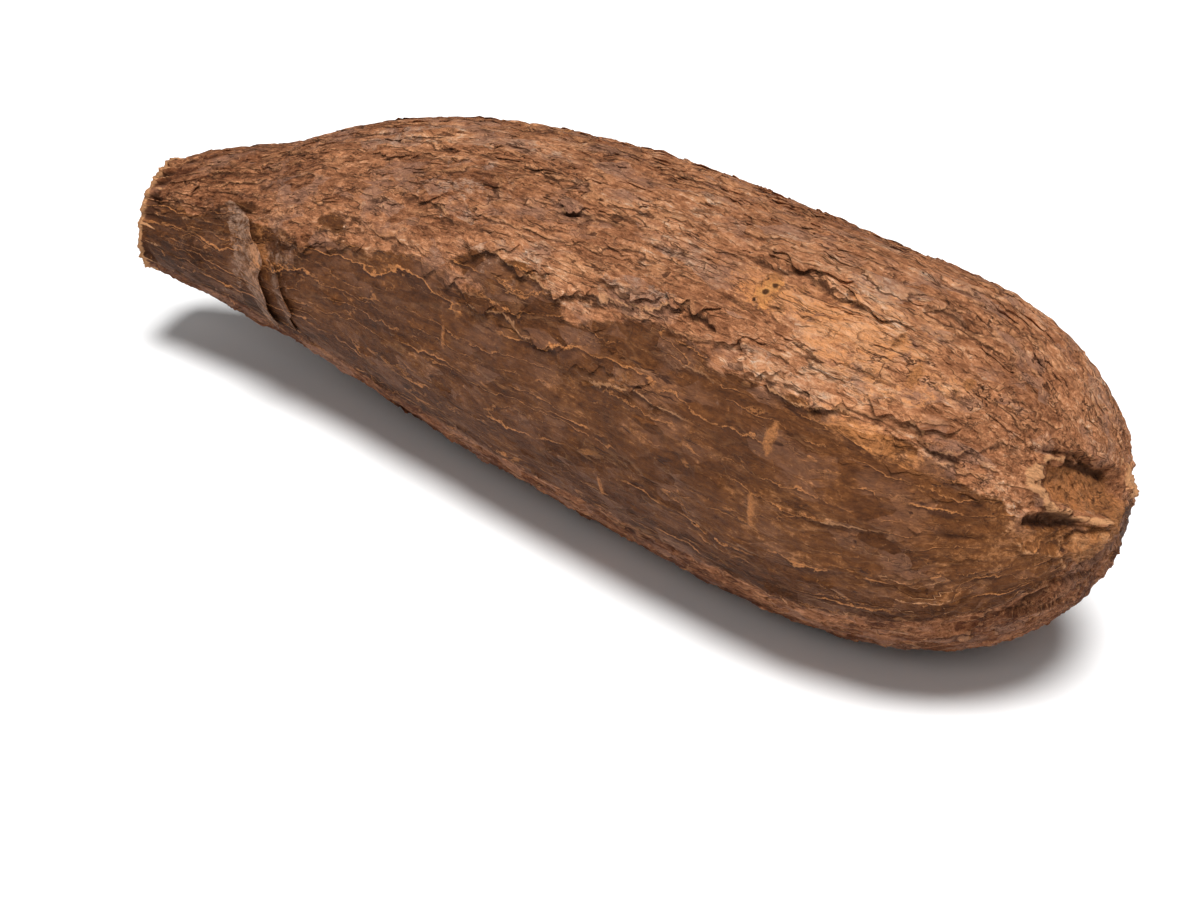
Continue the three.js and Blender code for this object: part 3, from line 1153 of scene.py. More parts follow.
@dataclass
class Flakes:
    """Scales of bark that stand off the skin along their lower edge.

    Each is a closed lens: its upper edge is sunk in the skin, its lower edge
    is lifted, its two ends taper into the skin.
    """

    skin: bpy.types.Object
    turn: np.ndarray
    share: np.ndarray
    strip: np.ndarray
    steps: int = 8                 # cells along a flake
    rows: int = 3                  # cells across a flake
    sunk_mm: float = 0.20
    thick_mm: float = 0.24
    rings: int = 241

    def __post_init__(self) -> None:
        """Lays out the grids of the skin and of a flake."""
        self._sheets()
        grid_u, grid_v = np.meshgrid(
            np.linspace(-1, 1, self.steps + 1), np.linspace(0, 1, self.rows + 1), indexing="ij"
        )
        self.u, self.v = grid_u.ravel(), grid_v.ravel()

    def scatter(self, count: int, seed: int) -> list[Flake]:
        """Picks small flakes at random, densest on thick bark and torn lips.

        Args:
            count: how many.
            seed: start of the random draws.

        Returns:
            the flakes.
        """
        rng = np.random.default_rng(seed)
        picked: list[Flake] = []
        while len(picked) < count:
            ring = rng.uniform(4, self.rings - 6)
            row = rng.uniform(0, self.around)
            dice = rng.uniform(size=8)
            if not self._wanted(ring, row, dice[0]):
                continue
            picked.append(Flake(
                ring,
                row,
                length=1.8 + 4.6 * dice[1] ** 1.8,
                width=0.7 + 1.7 * dice[2] * (0.5 + 0.5 * dice[1]),
                lift=0.06 + 0.46 * dice[3] ** 2,
                ruffle=(0.28 * (dice[4] - 0.5), dice[5], dice[6]),
                tone=0.24 * (dice[7] - 0.45),
            ))
        return picked

    def _index(self, place: float, angle: float) -> tuple[float, int]:
        """Grid place nearest to a distance along and an angle round the root.

        Args:
            place: distance along the root, mm.
            angle: degrees from the top.

        Returns:
            the ring, which may lie between two, and the row.
        """
        along = self.fields[Zone.GRAIN][:, :, 0].mean(axis=1)
        ring = float(np.interp(place, along, np.arange(self.rings)))
        grain = self.fields[Zone.GRAIN][int(ring)]
        angles = np.degrees(np.arctan2(grain[:, 1], grain[:, 2]))
        return ring, int(np.argmin(np.abs(wrapped(angles - angle))))

    def place_of(self, spot: Spot) -> np.ndarray:
        """Straightened place of a spot's middle, mm.

        Args:
            spot: the spot.

        Returns:
            distance along, across and up.
        """
        ring, row = self._index(spot.along, spot.angle)
        grain = self._look(self.fields[Zone.GRAIN], np.array(ring), np.array(float(row)))
        return np.array([spot.along, grain[1], grain[2]])

    def placed(self, plan: tuple, upright: bool) -> list[Flake]:
        """Turns listed scales into flakes.

        Args:
            plan: rows of place along, angle, half length, reach, lift, tone, grey, slant.
            upright: whether their hinges run round the root.

        Returns:
            the flakes.
        """
        flakes = []
        for number, (place, angle, length, width, lift, tone, grey, slant) in enumerate(plan):
            ring, row = self._index(place, angle)
            first, second = ((number * step + 0.31) % 1.0 for step in (0.618, 0.777))
            ruffle = (slant, first, second)
            flakes.append(
                Flake(ring, float(row), length, width, lift, ruffle, tone, grey, upright)
            )
        return flakes

    def build(self, name: str, flakes: list[Flake]) -> bpy.types.Object:
        """Makes flakes as one object.

        Args:
            name: name of the object.
            flakes: flakes to make.

        Returns:
            the object, shaded and laid out.
        """
        points: list[np.ndarray] = []
        stored: dict[Zone, list] = {zone: [] for zone in Zone}
        for flake in flakes:
            places, rings, rows = self._shape(flake)
            points.append(places)
            self._remember(stored, flake, rings, rows)
        mesh = bpy.data.meshes.new(name)
        places = np.concatenate(points)
        size = len(points[0])
        mesh.from_pydata(places.tolist(), [], self._faces(len(flakes), size))
        obj = bpy.data.objects.new(name, mesh)
        bpy.context.collection.objects.link(obj)
        for zone in Zone:
            wide = zone is Zone.GRAIN
            layer = mesh.attributes.new(zone.value, "FLOAT_VECTOR" if wide else "FLOAT", "POINT")
            flat = np.concatenate(stored[zone]).astype(np.float32).ravel()
            layer.data.foreach_set("vector" if wide else "value", flat)
        self._lay_out(mesh, len(flakes), size)
        only(obj)
        bpy.ops.object.shade_smooth_by_angle(angle=math.radians(50))
        log.info("%s: %d flakes with %d faces", name, len(flakes), len(mesh.polygons))
        return obj

    def _sheets(self) -> None:
        """Puts the skin's strip into a grid of places, normals and values."""
        ids = np.where(self.strip)[0]
        ring = np.rint(self.share[ids] * (self.rings - 1)).astype(int)
        self.levels = np.unique(self.turn[ids].round(4))
        row = np.searchsorted(self.levels, self.turn[ids].round(4))
        sheet = np.zeros((self.rings, len(self.levels)), dtype=int)
        sheet[ring, row] = ids
        self.around = len(self.levels)
        self.place = points_of(self.skin)[sheet]
        self.normal = normals_of(self.skin)[sheet]
        self.fields = {}
        for zone in Zone:
            layer = self.skin.data.attributes[zone.value]
            wide = 3 if zone is Zone.GRAIN else 1
            flat = np.empty(len(self.skin.data.vertices) * wide, dtype=np.float32)
            layer.data.foreach_get("vector" if wide == 3 else "value", flat)
            self.fields[zone] = flat.reshape(-1, wide)[sheet]

    def _look(self, sheet: np.ndarray, ring: np.ndarray, row: np.ndarray) -> np.ndarray:
        """Reads a sheet between its grid points.

        Args:
            sheet: values by ring and row.
            ring: places along the root, in rings.
            row: places round it, in rows.

        Returns:
            the values there.
        """
        ring = np.clip(ring, 0, self.rings - 1.001)
        i, j = np.floor(ring).astype(int), np.floor(row).astype(int)
        a, b = (ring - i)[..., None], (row - j)[..., None]
        j, k = j % self.around, (j + 1) % self.around
        near = sheet[i, j] * (1 - b) + sheet[i, k] * b
        far = sheet[i + 1, j] * (1 - b) + sheet[i + 1, k] * b
        return near * (1 - a) + far * a

    def _wanted(self, ring: float, row: float, dice: float) -> bool:
        """Whether a flake may grow here: on thick bark, clear of scars.

        Args:
            ring: place along the root, in rings.
            row: place round it, in rows.
            dice: random number from 0 to 1.

        Returns:
            true where it may.
        """
        i, j = int(ring), int(row) % self.around
        value = {zone: float(self.fields[zone][i, j][0]) for zone in Zone if zone is not Zone.GRAIN}
        if value[Zone.HOLLOW_SHADE] > 0.2 or value[Zone.TAN] > 0.3 or value[Zone.CREAM] > 0.3:
            return False
        from_scar = math.hypot(
            float(self.fields[Zone.GRAIN][i, j][0]) - SCAR.along,
            40.0 * math.radians(self.levels[j] - SCAR.angle),
        )
        if from_scar < 8.0:
            return False
        grain = self.fields[Zone.GRAIN][i, j]
        girth = math.hypot(grain[1], grain[2]) / 40.0
        near_lip = 1.4 if -3.5 < value[Zone.RIFT] < -0.3 and value[Zone.TORN] > 0.3 else 0.0
        return dice < girth * (0.06 + 0.5 * value[Zone.BARK] + near_lip)

    def _shape(self, flake: Flake) -> tuple[np.ndarray, np.ndarray, np.ndarray]:
        """One flake's points, outer side first, and their places on the grid.

        Args:
            flake: the flake.

        Returns:
            the points, then the ring and the row under each outer point.
        """
        ring, row = np.array(flake.ring), np.array(flake.row)
        way = 1.0 if self.levels[int(flake.row) % self.around] > LAP.ridge else -1.0
        here = self._look(self.place, ring, row)
        step_on = self._look(self.place, ring + 1, row) - here
        step_round = self._look(self.place, ring, row + 1) - here
        per_ring = 1 / max(np.linalg.norm(step_on) / MM, 0.2)
        per_row = way / max(np.linalg.norm(step_round) / MM, 0.2)
        slant, first, second = flake.ruffle
        taper = np.sqrt(np.clip(1 - self.u**2, 0.0, 1.0))
        ragged = 1 + 0.22 * np.sin(self.u * (3 + 5 * first) + 9 * second)
        ragged += 0.12 * np.sin(self.u * (9 + 8 * second) + 12 * first)
        reach = flake.width * self.v * (0.12 + 0.88 * taper * ragged)
        hinge = self.u * flake.length
        reach = reach + slant * hinge
        rise = -self.sunk_mm + (flake.lift + self.sunk_mm) * self.v**1.3 * taper**0.7 * ragged
        rise -= 0.12 * (1 - taper)
        if flake.upright:
            rings, rows = ring + reach * per_ring, row + hinge * per_row
        else:
            rings, rows = ring + hinge * per_ring, row + reach * per_row
        base = self._look(self.place, rings, rows)
        out = self._look(self.normal, rings, rows)
        outer = base + out * (rise * MM)[:, None]
        thin = self.thick_mm * (1 - 0.55 * self.v)
        inner = outer - out * (thin * MM)[:, None]
        return np.concatenate([outer, inner]), rings, rows

    def _remember(
        self, stored: dict[Zone, list], flake: Flake, rings: np.ndarray, rows: np.ndarray
    ) -> None:
        """Keeps the skin's values under a flake for the flake's points.

        Args:
            stored: values so far, by zone.
            flake: the flake.
            rings: ring under each of its points.
            rows: row under each of its points.
        """
        for zone in Zone:
            value = self._look(self.fields[zone], rings, rows)
            if zone is Zone.TONE_AND_SHADE:
                value = value + flake.tone
            if zone is Zone.BLOOM:
                value = np.maximum(value, flake.grey)
            if zone in (Zone.TORN, Zone.HOLLOW_SHADE):
                value = np.zeros_like(value)
            stored[zone].append(np.concatenate([value, value]))

    def _cells(self) -> np.ndarray:
        """Corner numbers of the cells of one flake's grid.

        Returns:
            four numbers per cell.
        """
        i, j = np.meshgrid(np.arange(self.steps), np.arange(self.rows), indexing="ij")
        first = (i * (self.rows + 1) + j).ravel()
        across = self.rows + 1
        return np.stack([first, first + across, first + across + 1, first + 1], axis=1)

    def _rim(self) -> np.ndarray:
        """Corner numbers round the edge of one flake's grid, in order.

        Returns:
            one number per corner.
        """
        across = self.rows + 1
        near = [i * across for i in range(self.steps)]
        end = [self.steps * across + j for j in range(self.rows)]
        far = [i * across + self.rows for i in range(self.steps, 0, -1)]
        start = [j for j in range(self.rows, 0, -1)]
        return np.array(near + end + far + start)

    def _faces(self, count: int, size: int) -> list[list[int]]:
        """Faces of all flakes: outer, inner and edge.

        Args:
            count: how many flakes.
            size: points in each.

        Returns:
            four point numbers per face.
        """
        half = size // 2
        cells = self._cells()
        rim = self._rim()
        after = np.roll(rim, -1)
        wall = np.stack([after, rim, rim + half, after + half], axis=1)
        one = np.concatenate([cells, cells[:, ::-1] + half, wall])
        every = one[None] + (np.arange(count) * size)[:, None, None]
        return every.reshape(-1, 4).tolist()

    def _lay_out(self, mesh: bpy.types.Mesh, count: int, size: int) -> None:
        """Gives every flake its own small square of the texture.

        Args:
            mesh: mesh of all the flakes.
            count: how many flakes.
            size: points in each.
        """
        side = math.ceil(math.sqrt(count))
        half = size // 2
        outer = np.stack([0.08 + 0.40 * self.v, 0.5 + 0.42 * self.u], axis=1)
        inner = np.stack([0.92 - 0.36 * self.v, 0.5 + 0.42 * self.u], axis=1)
        spot = np.concatenate([outer, inner])
        corners = np.empty(len(mesh.loops), dtype=np.int64)
        mesh.loops.foreach_get("vertex_index", corners)
        flake, point = corners // size, corners % size
        home = np.stack([flake % side, flake // side], axis=1)
        place = spot[point]
        faces_each = len(self._cells()) * 2 + len(self._rim())
        number = (np.arange(len(corners)) // 4) % faces_each
        low = (number >= len(self._cells()) * 2) & (point >= half)
        shrunk = 0.5 + (spot[point - half] - (0.28, 0.5)) * 1.12 - (0.22, 0.0)
        place = np.where(low[:, None], shrunk, place)
        layer = mesh.uv_layers.new(name="OFBake")
        layer.data.foreach_set("uv", ((home + place) / side).astype(np.float32).ravel())


# --------------------------------------------------------------- the material


Socket = bpy.types.NodeSocket
Value = Socket | float


class Graph:
    """Short ways to add nodes to a material."""

    def __init__(self, material: bpy.types.Material) -> None:
        """Keeps the material's node tree."""
        self.tree = material.node_tree

    def add(self, kind: str) -> bpy.types.Node:
        """Adds a node of a kind."""
        return self.tree.nodes.new(kind)

    def feed(self, socket: Socket, value: object) -> None:
        """Links a socket to another one, or sets its value.

        Args:
            socket: input to fill.
            value: a socket, number or colour.
        """
        if isinstance(value, bpy.types.NodeSocket):
            self.tree.links.new(value, socket)
        else:
            socket.default_value = value

    def math(self, how: str, a: Value, b: Value = 0.0, c: Value = 0.0) -> Socket:
        """Arithmetic on one, two or three values.

        Args:
            how: operation.
            a: first value.
            b: second value.
            c: third value.

        Returns:
            the result.
        """
        node = self.add("ShaderNodeMath")
        node.operation = how
        for socket, value in zip(node.inputs, (a, b, c)):
            self.feed(socket, value)
        return node.outputs[0]

    def plus(self, *values: Value) -> Socket:
        """Sum of several values.

        Args:
            values: what to add.

        Returns:
            the sum.
        """
        total = values[0]
        for value in values[1:]:
            total = self.math("ADD", total, value)
        return total

    def times(self, *values: Value) -> Socket:
        """Product of several values.

        Args:
            values: what to multiply.

        Returns:
            the product.
        """
        total = values[0]
        for value in values[1:]:
            total = self.math("MULTIPLY", total, value)
        return total

    def most(self, a: Value, b: Value) -> Socket:
        """Larger of two values."""
        return self.math("MAXIMUM", a, b)

    def step(self, value: Value, low: float, high: float) -> Socket:
        """Smooth step from 0 at low to 1 at high; high may lie below low.

        Args:
            value: what is stepped.
            low: where the step is 0.
            high: where it is 1.

        Returns:
            the step.
        """
        node = self.add("ShaderNodeMapRange")
        node.interpolation_type = "SMOOTHSTEP"
        flip = high < low
        self.feed(node.inputs["Value"], value)
        node.inputs["From Min"].default_value = min(low, high)
        node.inputs["From Max"].default_value = max(low, high)
        node.inputs["To Min"].default_value = 1.0 if flip else 0.0
        node.inputs["To Max"].default_value = 0.0 if flip else 1.0
        return node.outputs["Result"]

    def stored(self, zone: Zone) -> Socket:
        """Value kept on the skin's points.

        Args:
            zone: which value.

        Returns:
            its socket.
        """
        node = self.add("ShaderNodeAttribute")
        node.attribute_name = zone.value
        return node.outputs["Vector" if zone is Zone.GRAIN else "Fac"]

    def vector(self, how: str, *parts: object) -> Socket:
        """Arithmetic on vectors.

        Args:
            how: operation.
            parts: the vectors.

        Returns:
            a distance or a vector.
        """
        node = self.add("ShaderNodeVectorMath")
        node.operation = how
        for socket, part in zip(node.inputs, parts):
            self.feed(socket, part)
        return node.outputs["Value" if how == "DISTANCE" else "Vector"]

    def scaled(self, vector: Socket, along: float, across: float = 1.0) -> Socket:
        """Place with its part along the root and its other two multiplied."""
        return self.vector("MULTIPLY", vector, (along, across, across))

    def moved(self, vector: Socket, shift: Socket, reach: float) -> Socket:
        """Vector pushed about by a colour centred on grey."""
        centred = self.vector("SUBTRACT", shift, (0.5, 0.5, 0.5))
        return self.vector("MULTIPLY_ADD", centred, (reach, reach, reach), vector)

    def noise(
        self,
        vector: Socket,
        scale: float,
        detail: float,
        rough: float = 0.55,
        along: float = 1.0,
        warp: float = 0.0,
        output: str = "Fac",
    ) -> Socket:
        """Noise texture.

        Args:
            vector: place that the noise is read at.
            scale: features per unit of length across the root.
            detail: how many finer layers are added.
            rough: strength of each layer against the one before.
            along: features along the root as a share of those across it.
            warp: how far the noise is pushed about by itself.
            output: name of the output that is read.

        Returns:
            the noise's value or its colour.
        """
        node = self.add("ShaderNodeTexNoise")
        self.feed(node.inputs["Vector"], self.scaled(vector, along))
        node.inputs["Scale"].default_value = scale
        node.inputs["Detail"].default_value = detail
        node.inputs["Roughness"].default_value = rough
        node.inputs["Distortion"].default_value = warp
        return node.outputs[output]

    def centred(self, value: Socket, gain: float = 1.0) -> Socket:
        """A value of about a half brought to about zero, times a gain."""
        return self.times(self.math("SUBTRACT", value, 0.5), gain)

    def cells(self, vector: Socket, scale: float) -> bpy.types.Node:
        """Cell texture.

        Args:
            vector: where it is read.
            scale: its scale.

        Returns:
            its node.
        """
        node = self.add("ShaderNodeTexVoronoi")
        self.feed(node.inputs["Vector"], vector)
        node.inputs["Scale"].default_value = scale
        return node

    def ramp(self, value: Value, stops: tuple) -> Socket:
        """Colour for a value, blended between stops of place and colour.

        Args:
            value: what picks the colour.
            stops: pairs of place and colour.

        Returns:
            the colour.
        """
        node = self.add("ShaderNodeValToRGB")
        self.feed(node.inputs["Fac"], value)
        bar = node.color_ramp.elements
        while len(bar) < len(stops):
            bar.new(0.5)
        for mark, (place, tint) in zip(bar, stops):
            mark.position = place
            mark.color = tint
        return node.outputs["Color"]

    def mix(self, share: Value, first: object, second: object, how: str = "MIX") -> Socket:
        """Mixes two colours.

        Args:
            share: share of the second colour.
            first: first colour.
            second: second colour.
            how: way of mixing.

        Returns:
            the mixed colour.
        """
        node = self.add("ShaderNodeMix")
        node.data_type = "RGBA"
        node.blend_type = how
        self.feed(node.inputs["Factor"], share)
        colours = [socket for socket in node.inputs if socket.type == "RGBA"]
        self.feed(colours[0], first)
        self.feed(colours[1], second)
        return next(socket for socket in node.outputs if socket.type == "RGBA")


def colour(red: float, green: float, blue: float) -> tuple[float, float, float, float]:
    """Opaque linear colour."""
    return (red, green, blue, 1.0)


@dataclass(frozen=True)
class PeelColours:
    """Linear colours of the peel.

    Attributes:
        upper: colours of thick bark, from its dark gaps to its pale flecks.
        lower: colours of the smoother layer, likewise.
    """

    upper: tuple = (
        (0.00, colour(0.105, 0.030, 0.010)),
        (0.16, colour(0.215, 0.074, 0.028)),
        (0.36, colour(0.345, 0.132, 0.056)),
        (0.54, colour(0.500, 0.203, 0.088)),
        (0.70, colour(0.650, 0.290, 0.140)),
        (0.86, colour(0.780, 0.430, 0.245)),
        (1.00, colour(0.860, 0.610, 0.440)),
    )
    lower: tuple = (
        (0.00, colour(0.040, 0.012, 0.002)),
        (0.20, colour(0.074, 0.022, 0.005)),
        (0.40, colour(0.104, 0.033, 0.008)),
        (0.60, colour(0.137, 0.045, 0.011)),
        (0.80, colour(0.198, 0.070, 0.019)),
        (1.00, colour(0.380, 0.155, 0.055)),
    )
    plum: tuple = colour(0.320, 0.165, 0.110)
    ash: tuple = colour(0.580, 0.390, 0.285)
    # Orange: bare skin and scars, and painted highlight on the hairlines and papery edges.
    honey_and_highlight: tuple = colour(0.830, 0.330, 0.108)
    flame: tuple = colour(1.000, 0.440, 0.140)
    cork: tuple = colour(0.560, 0.220, 0.075)
    # Sandy: painted highlight on torn lips and on the scales' edges, and the colour of pale flecks,
    # scar rims and the cut face.
    straw_and_highlight: tuple = colour(0.880, 0.435, 0.200)
    umber: tuple = colour(0.165, 0.070, 0.034)
    # Near black: painted shade in gaps, cracks, slits, hollows and pits, and the soot flecks on
    # corky scars.
    shade_and_soot: tuple = colour(0.060, 0.020, 0.008)


@dataclass
class PeelFinish:
    """The peel's material. Heights and places are millimetres.

    Attributes:
        scar: middle of the orange scar on the straightened root.
        pits: middles of the pits in it.
        tints: the colours that it is mixed from.
    """

    scar: np.ndarray
    pits: list[np.ndarray]
    tints: PeelColours = PeelColours()
    spread_mm: float = 2.6         # how far the pattern is pushed about
    specular: float = 0.16

    def build(self) -> bpy.types.Material:
        """Makes the material.

        Returns:
            the material, named cassava_peel.
        """
        material = bpy.data.materials.new("cassava_peel")
        material.use_nodes = True
        self.graph = graph = Graph(material)
        self.grain = graph.stored(Zone.GRAIN)
        self.bark = graph.stored(Zone.BARK)
        push = graph.noise(self.grain, 0.16, 3, along=0.5, output="Color")
        self.bent = graph.moved(self.grain, push, self.spread_mm)
        self.turn = self._turn()
        self.tile = self._tile()
        edges, gap_shadows, climb = self._shingles()
        self._ground(climb)
        # Painted highlight on the scales' lifted edges, painted shadow in the gaps beneath them.
        self._paint(graph.times(edges, 0.22), self.tints.straw_and_highlight)
        self._paint(graph.times(gap_shadows, 0.74), self.tints.shade_and_soot)
        self._cracks()
        self._curls()
        self._slits()
        self._papery()
        self._corky()
        self._torn()
        self._cut_face()
        self._scar()
        self._shade()
        return material

    def _paint(self, share: Socket, tint: object) -> None:
        """Lays a colour over what is painted so far."""
        self.paint = self.graph.mix(share, self.paint, tint)

    def _raise(self, amount: Socket) -> None:
        """Adds to the relief."""
        self.relief = self.graph.plus(self.relief, amount)

    def _sink(self, amount: Socket) -> None:
        """Takes from the relief."""
        self.relief = self.graph.math("SUBTRACT", self.relief, amount)

    def _noise(
        self, scale: float, detail: float, rough: float = 0.55, along: float = 1.0
    ) -> Socket:
        """Noise over the bent grain of the peel."""
        return self.graph.noise(self.bent, scale, detail, rough, along)

    def _turn(self) -> Socket:
        """Share of a turn that a point lies down from the ridge line.

        Returns:
            the share, 0 on the ridge line.
        """
        graph = self.graph
        parts = graph.add("ShaderNodeSeparateXYZ")
        graph.feed(parts.inputs[0], self.grain)
        angle = graph.math("ARCTAN2", parts.outputs["Y"], parts.outputs["Z"])
        from_ridge = graph.math("SUBTRACT", angle, math.radians(LAP.ridge))
        return graph.math("DIVIDE", graph.math("ABSOLUTE", from_ridge), 2 * math.pi)

    def _tile(self) -> Socket:
        """A random value for each long narrow scale of bark.

        Returns:
            the value, from 0 to 1.
        """
        graph = self.graph
        tiles = graph.cells(graph.scaled(self.bent, 0.33), 0.30)
        parts = graph.add("ShaderNodeSeparateColor")
        graph.feed(parts.inputs[0], tiles.outputs["Color"])
        return parts.outputs[0]

    def _lap(self, phase: Socket, drop: float) -> tuple[Socket, Socket, Socket]:
        """One set of lapped layers.

        Args:
            phase: layers counted down from the ridge line.
            drop: share of a layer over which its edge falls.

        Returns:
            climb from 0 to 1 across each layer, its lit edge for a painted highlight, the gap under
            it for a painted shadow.
        """
        graph = self.graph
        loop = graph.math("FRACT", phase)
        rise = graph.math("POWER", graph.math("DIVIDE", loop, 1 - drop), 1.5)
        fall = graph.math("DIVIDE", graph.math("SUBTRACT", 1.0, loop), drop)
        climb = graph.math("MINIMUM", rise, fall)
        # Bands for a painted highlight on each layer's edge and a painted shadow in the gap under
        # it.
        edge = graph.times(graph.step(loop, 0.74, 0.90), graph.step(loop, 1.0, 1 - drop * 0.6))
        gap = graph.most(graph.step(loop, 0.13, 0.03), graph.step(loop, 1 - drop * 0.4, 1.0))
        return climb, edge, gap

    def _shingles(self) -> tuple[Socket, Socket, Socket]:
        """Overlapping scales of bark, coarse and fine, which start the relief.

        Returns:
            lit edges, gaps beneath them, climb across the scales.
        """
        graph = self.graph
        wave = graph.centred(self._noise(0.55, 5, 0.6, along=0.40))
        sway = graph.centred(self._noise(0.22, 4, 0.55, along=0.26), 6.0)
        coarse = graph.plus(
            graph.times(self.turn, LAP.coarse), graph.stored(Zone.DRIFT), graph.times(wave, 0.5)
        )
        fine = graph.plus(
            graph.times(self.turn, LAP.fine),
            sway,
            graph.times(self.tile, 2.0),
            graph.times(wave, 1.2),
        )
        coarse_climb, coarse_edge, coarse_gap_shadow = self._lap(coarse, 0.06)
        fine_climb, fine_edge, fine_gap_shadow = self._lap(fine, 0.16)
        thick = graph.plus(0.10, graph.times(self.bark, 0.90))
        open_coarse = graph.times(graph.step(self._noise(0.17, 4, along=0.40), 0.40, 0.56), thick)
        open_fine = graph.times(graph.step(self._noise(0.31, 4, along=0.45), 0.44, 0.60), thick)
        self.relief = graph.plus(
            graph.times(coarse_climb, open_coarse, 0.62),
            graph.times(fine_climb, graph.plus(0.05, open_fine), 0.36),
        )
        edges = graph.most(graph.times(coarse_edge, open_coarse), graph.times(fine_edge, open_fine))
        gap_shadows = graph.most(
            graph.times(coarse_gap_shadow, open_coarse), graph.times(fine_gap_shadow, open_fine, 0.8)
        )
        climb = graph.plus(graph.times(coarse_climb, 0.5), graph.times(fine_climb, 0.5))
        return edges, gap_shadows, climb

    def _ground(self, climb: Socket) -> None:
        """Brown ground, which starts the paint: dark to sandy by random tone, with painted shade
        low on each scale and painted highlight by its edge.

        Args:
            climb: climb across the scales of bark.
        """
        graph, tints = self.graph, self.tints
        bark, tile = self.bark, self.tile
        speck = self._noise(0.75, 7, 0.75, along=0.6)
        amber = graph.stored(Zone.AMBER)
        tone = graph.plus(
            0.53,
            graph.centred(self._noise(0.075, 4, 0.6, along=0.5), 1.1),
            graph.centred(self._noise(1.1, 8, 0.7, along=0.16), 1.3),
            graph.centred(speck, 1.5),
            graph.centred(tile, 0.22),
            # Painted light in the tone: it rises across each scale towards its lifted edge, painted
            # highlight by the edge and painted shade low down, and the stored tone adds painted
            # shade on the underside and towards the neck end.
            graph.times(graph.centred(climb), bark, 0.18),
            graph.times(amber, graph.plus(0.06, graph.times(bark, 0.28))),
            graph.stored(Zone.TONE_AND_SHADE),
        )
        thick = graph.step(graph.plus(bark, graph.centred(speck, 0.7)), 0.55, 0.85)
        self.paint = graph.mix(thick, graph.ramp(tone, tints.lower), graph.ramp(tone, tints.upper))
        cool = graph.centred(self._noise(0.105, 5, 0.65, along=0.55), 2.4)
        chill = graph.step(graph.plus(cool, graph.times(tile, 0.6)), 0.30, 0.72)
        self._paint(graph.times(chill, graph.plus(0.12, graph.times(bark, 0.5))), tints.plum)
        dust = graph.plus(
            graph.times(graph.stored(Zone.BLOOM), 0.50),
            graph.times(tile, 0.45),
            graph.centred(self._noise(0.36, 6, 0.78), 2.6),
        )
        dust = graph.times(graph.step(dust, 0.62, 1.05), graph.step(speck, 0.40, 0.58))
        self._paint(graph.times(dust, graph.plus(0.30, graph.times(bark, 0.40))), tints.ash)
        glow = graph.plus(
            graph.times(amber, 0.62), graph.centred(speck, 2.2), graph.times(tile, 0.25)
        )
        glow = graph.step(glow, 0.36, 0.85)
        self._paint(graph.times(glow, graph.plus(0.30, graph.times(bark, 0.42))), tints.honey_and_highlight)

    def _cracks(self) -> None:
        """Long cracks in the thick bark, sunk, with painted shade in them."""
        graph = self.graph
        for scale, width, depth, dark in ((0.30, 0.020, 0.45, 0.85), (0.75, 0.026, 0.25, 0.65)):
            bands = graph.noise(self.bent, scale, 4, 0.6, along=0.11, warp=0.25)
            line = graph.step(graph.math("ABSOLUTE", graph.centred(bands)), width, width * 0.2)
            gate = graph.step(self._noise(scale * 0.6, 3, along=0.45), 0.46, 0.60)
            line = graph.times(line, gate, graph.plus(0.16, graph.times(self.bark, 0.84)))
            self._sink(graph.times(line, depth))
            # Painted shade in the cracks.
            self._paint(graph.times(line, dark), self.tints.shade_and_soot)

    def _curls(self) -> None:
        """Faint curled hairlines, with a painted highlight on each and a painted shadow just below
        it.
        """
        graph = self.graph
        bare = graph.plus(0.15, graph.times(graph.step(self.bark, 1.0, 0.45), 0.85))
        waver = graph.noise(self.bent, 0.45, 5, 0.65, along=0.35, output="Color")
        ripple = graph.moved(self.bent, waver, 2.4)
        for scale, width, pale in ((0.13, 0.0042, 0.34), (0.34, 0.0060, 0.26)):
            value = graph.centred(graph.noise(ripple, scale, 1.0, 0.35, along=0.10))
            lit_hair = graph.step(graph.math("ABSOLUTE", value), width, width * 0.3)
            under = graph.math("ABSOLUTE", graph.math("SUBTRACT", value, width * 1.7))
            under = graph.step(under, width * 1.2, width * 0.3)
            gate = self._noise(0.14 + scale * 0.4, 3, along=0.3)
            gate = graph.times(graph.step(gate, 0.45, 0.56), bare)
            # Painted highlight on each hairline and painted shadow just below it.
            self._raise(graph.times(lit_hair, gate, 0.38))
            self._paint(graph.times(under, gate, 0.5), self.tints.shade_and_soot)
            self._paint(graph.times(lit_hair, gate, pale), self.tints.honey_and_highlight)

    def _slits(self) -> None:
        """Short lengthwise slits with painted shade in them, and pale flecks on the thick bark."""
        graph = self.graph
        bare = graph.plus(0.3, graph.step(self.bark, 1.0, 0.45))
        slit = graph.times(graph.step(self._noise(0.62, 3, 0.6, along=0.10), 0.655, 0.70), bare)
        self._sink(graph.times(slit, 0.4))
        # Painted shade in the slits.
        self._paint(graph.times(slit, 0.75), self.tints.shade_and_soot)
        flecks = graph.step(self._noise(1.5, 3, 0.6, along=0.6), 0.67, 0.72)
        self._paint(graph.times(flecks, self.bark, 0.5), self.tints.straw_and_highlight)

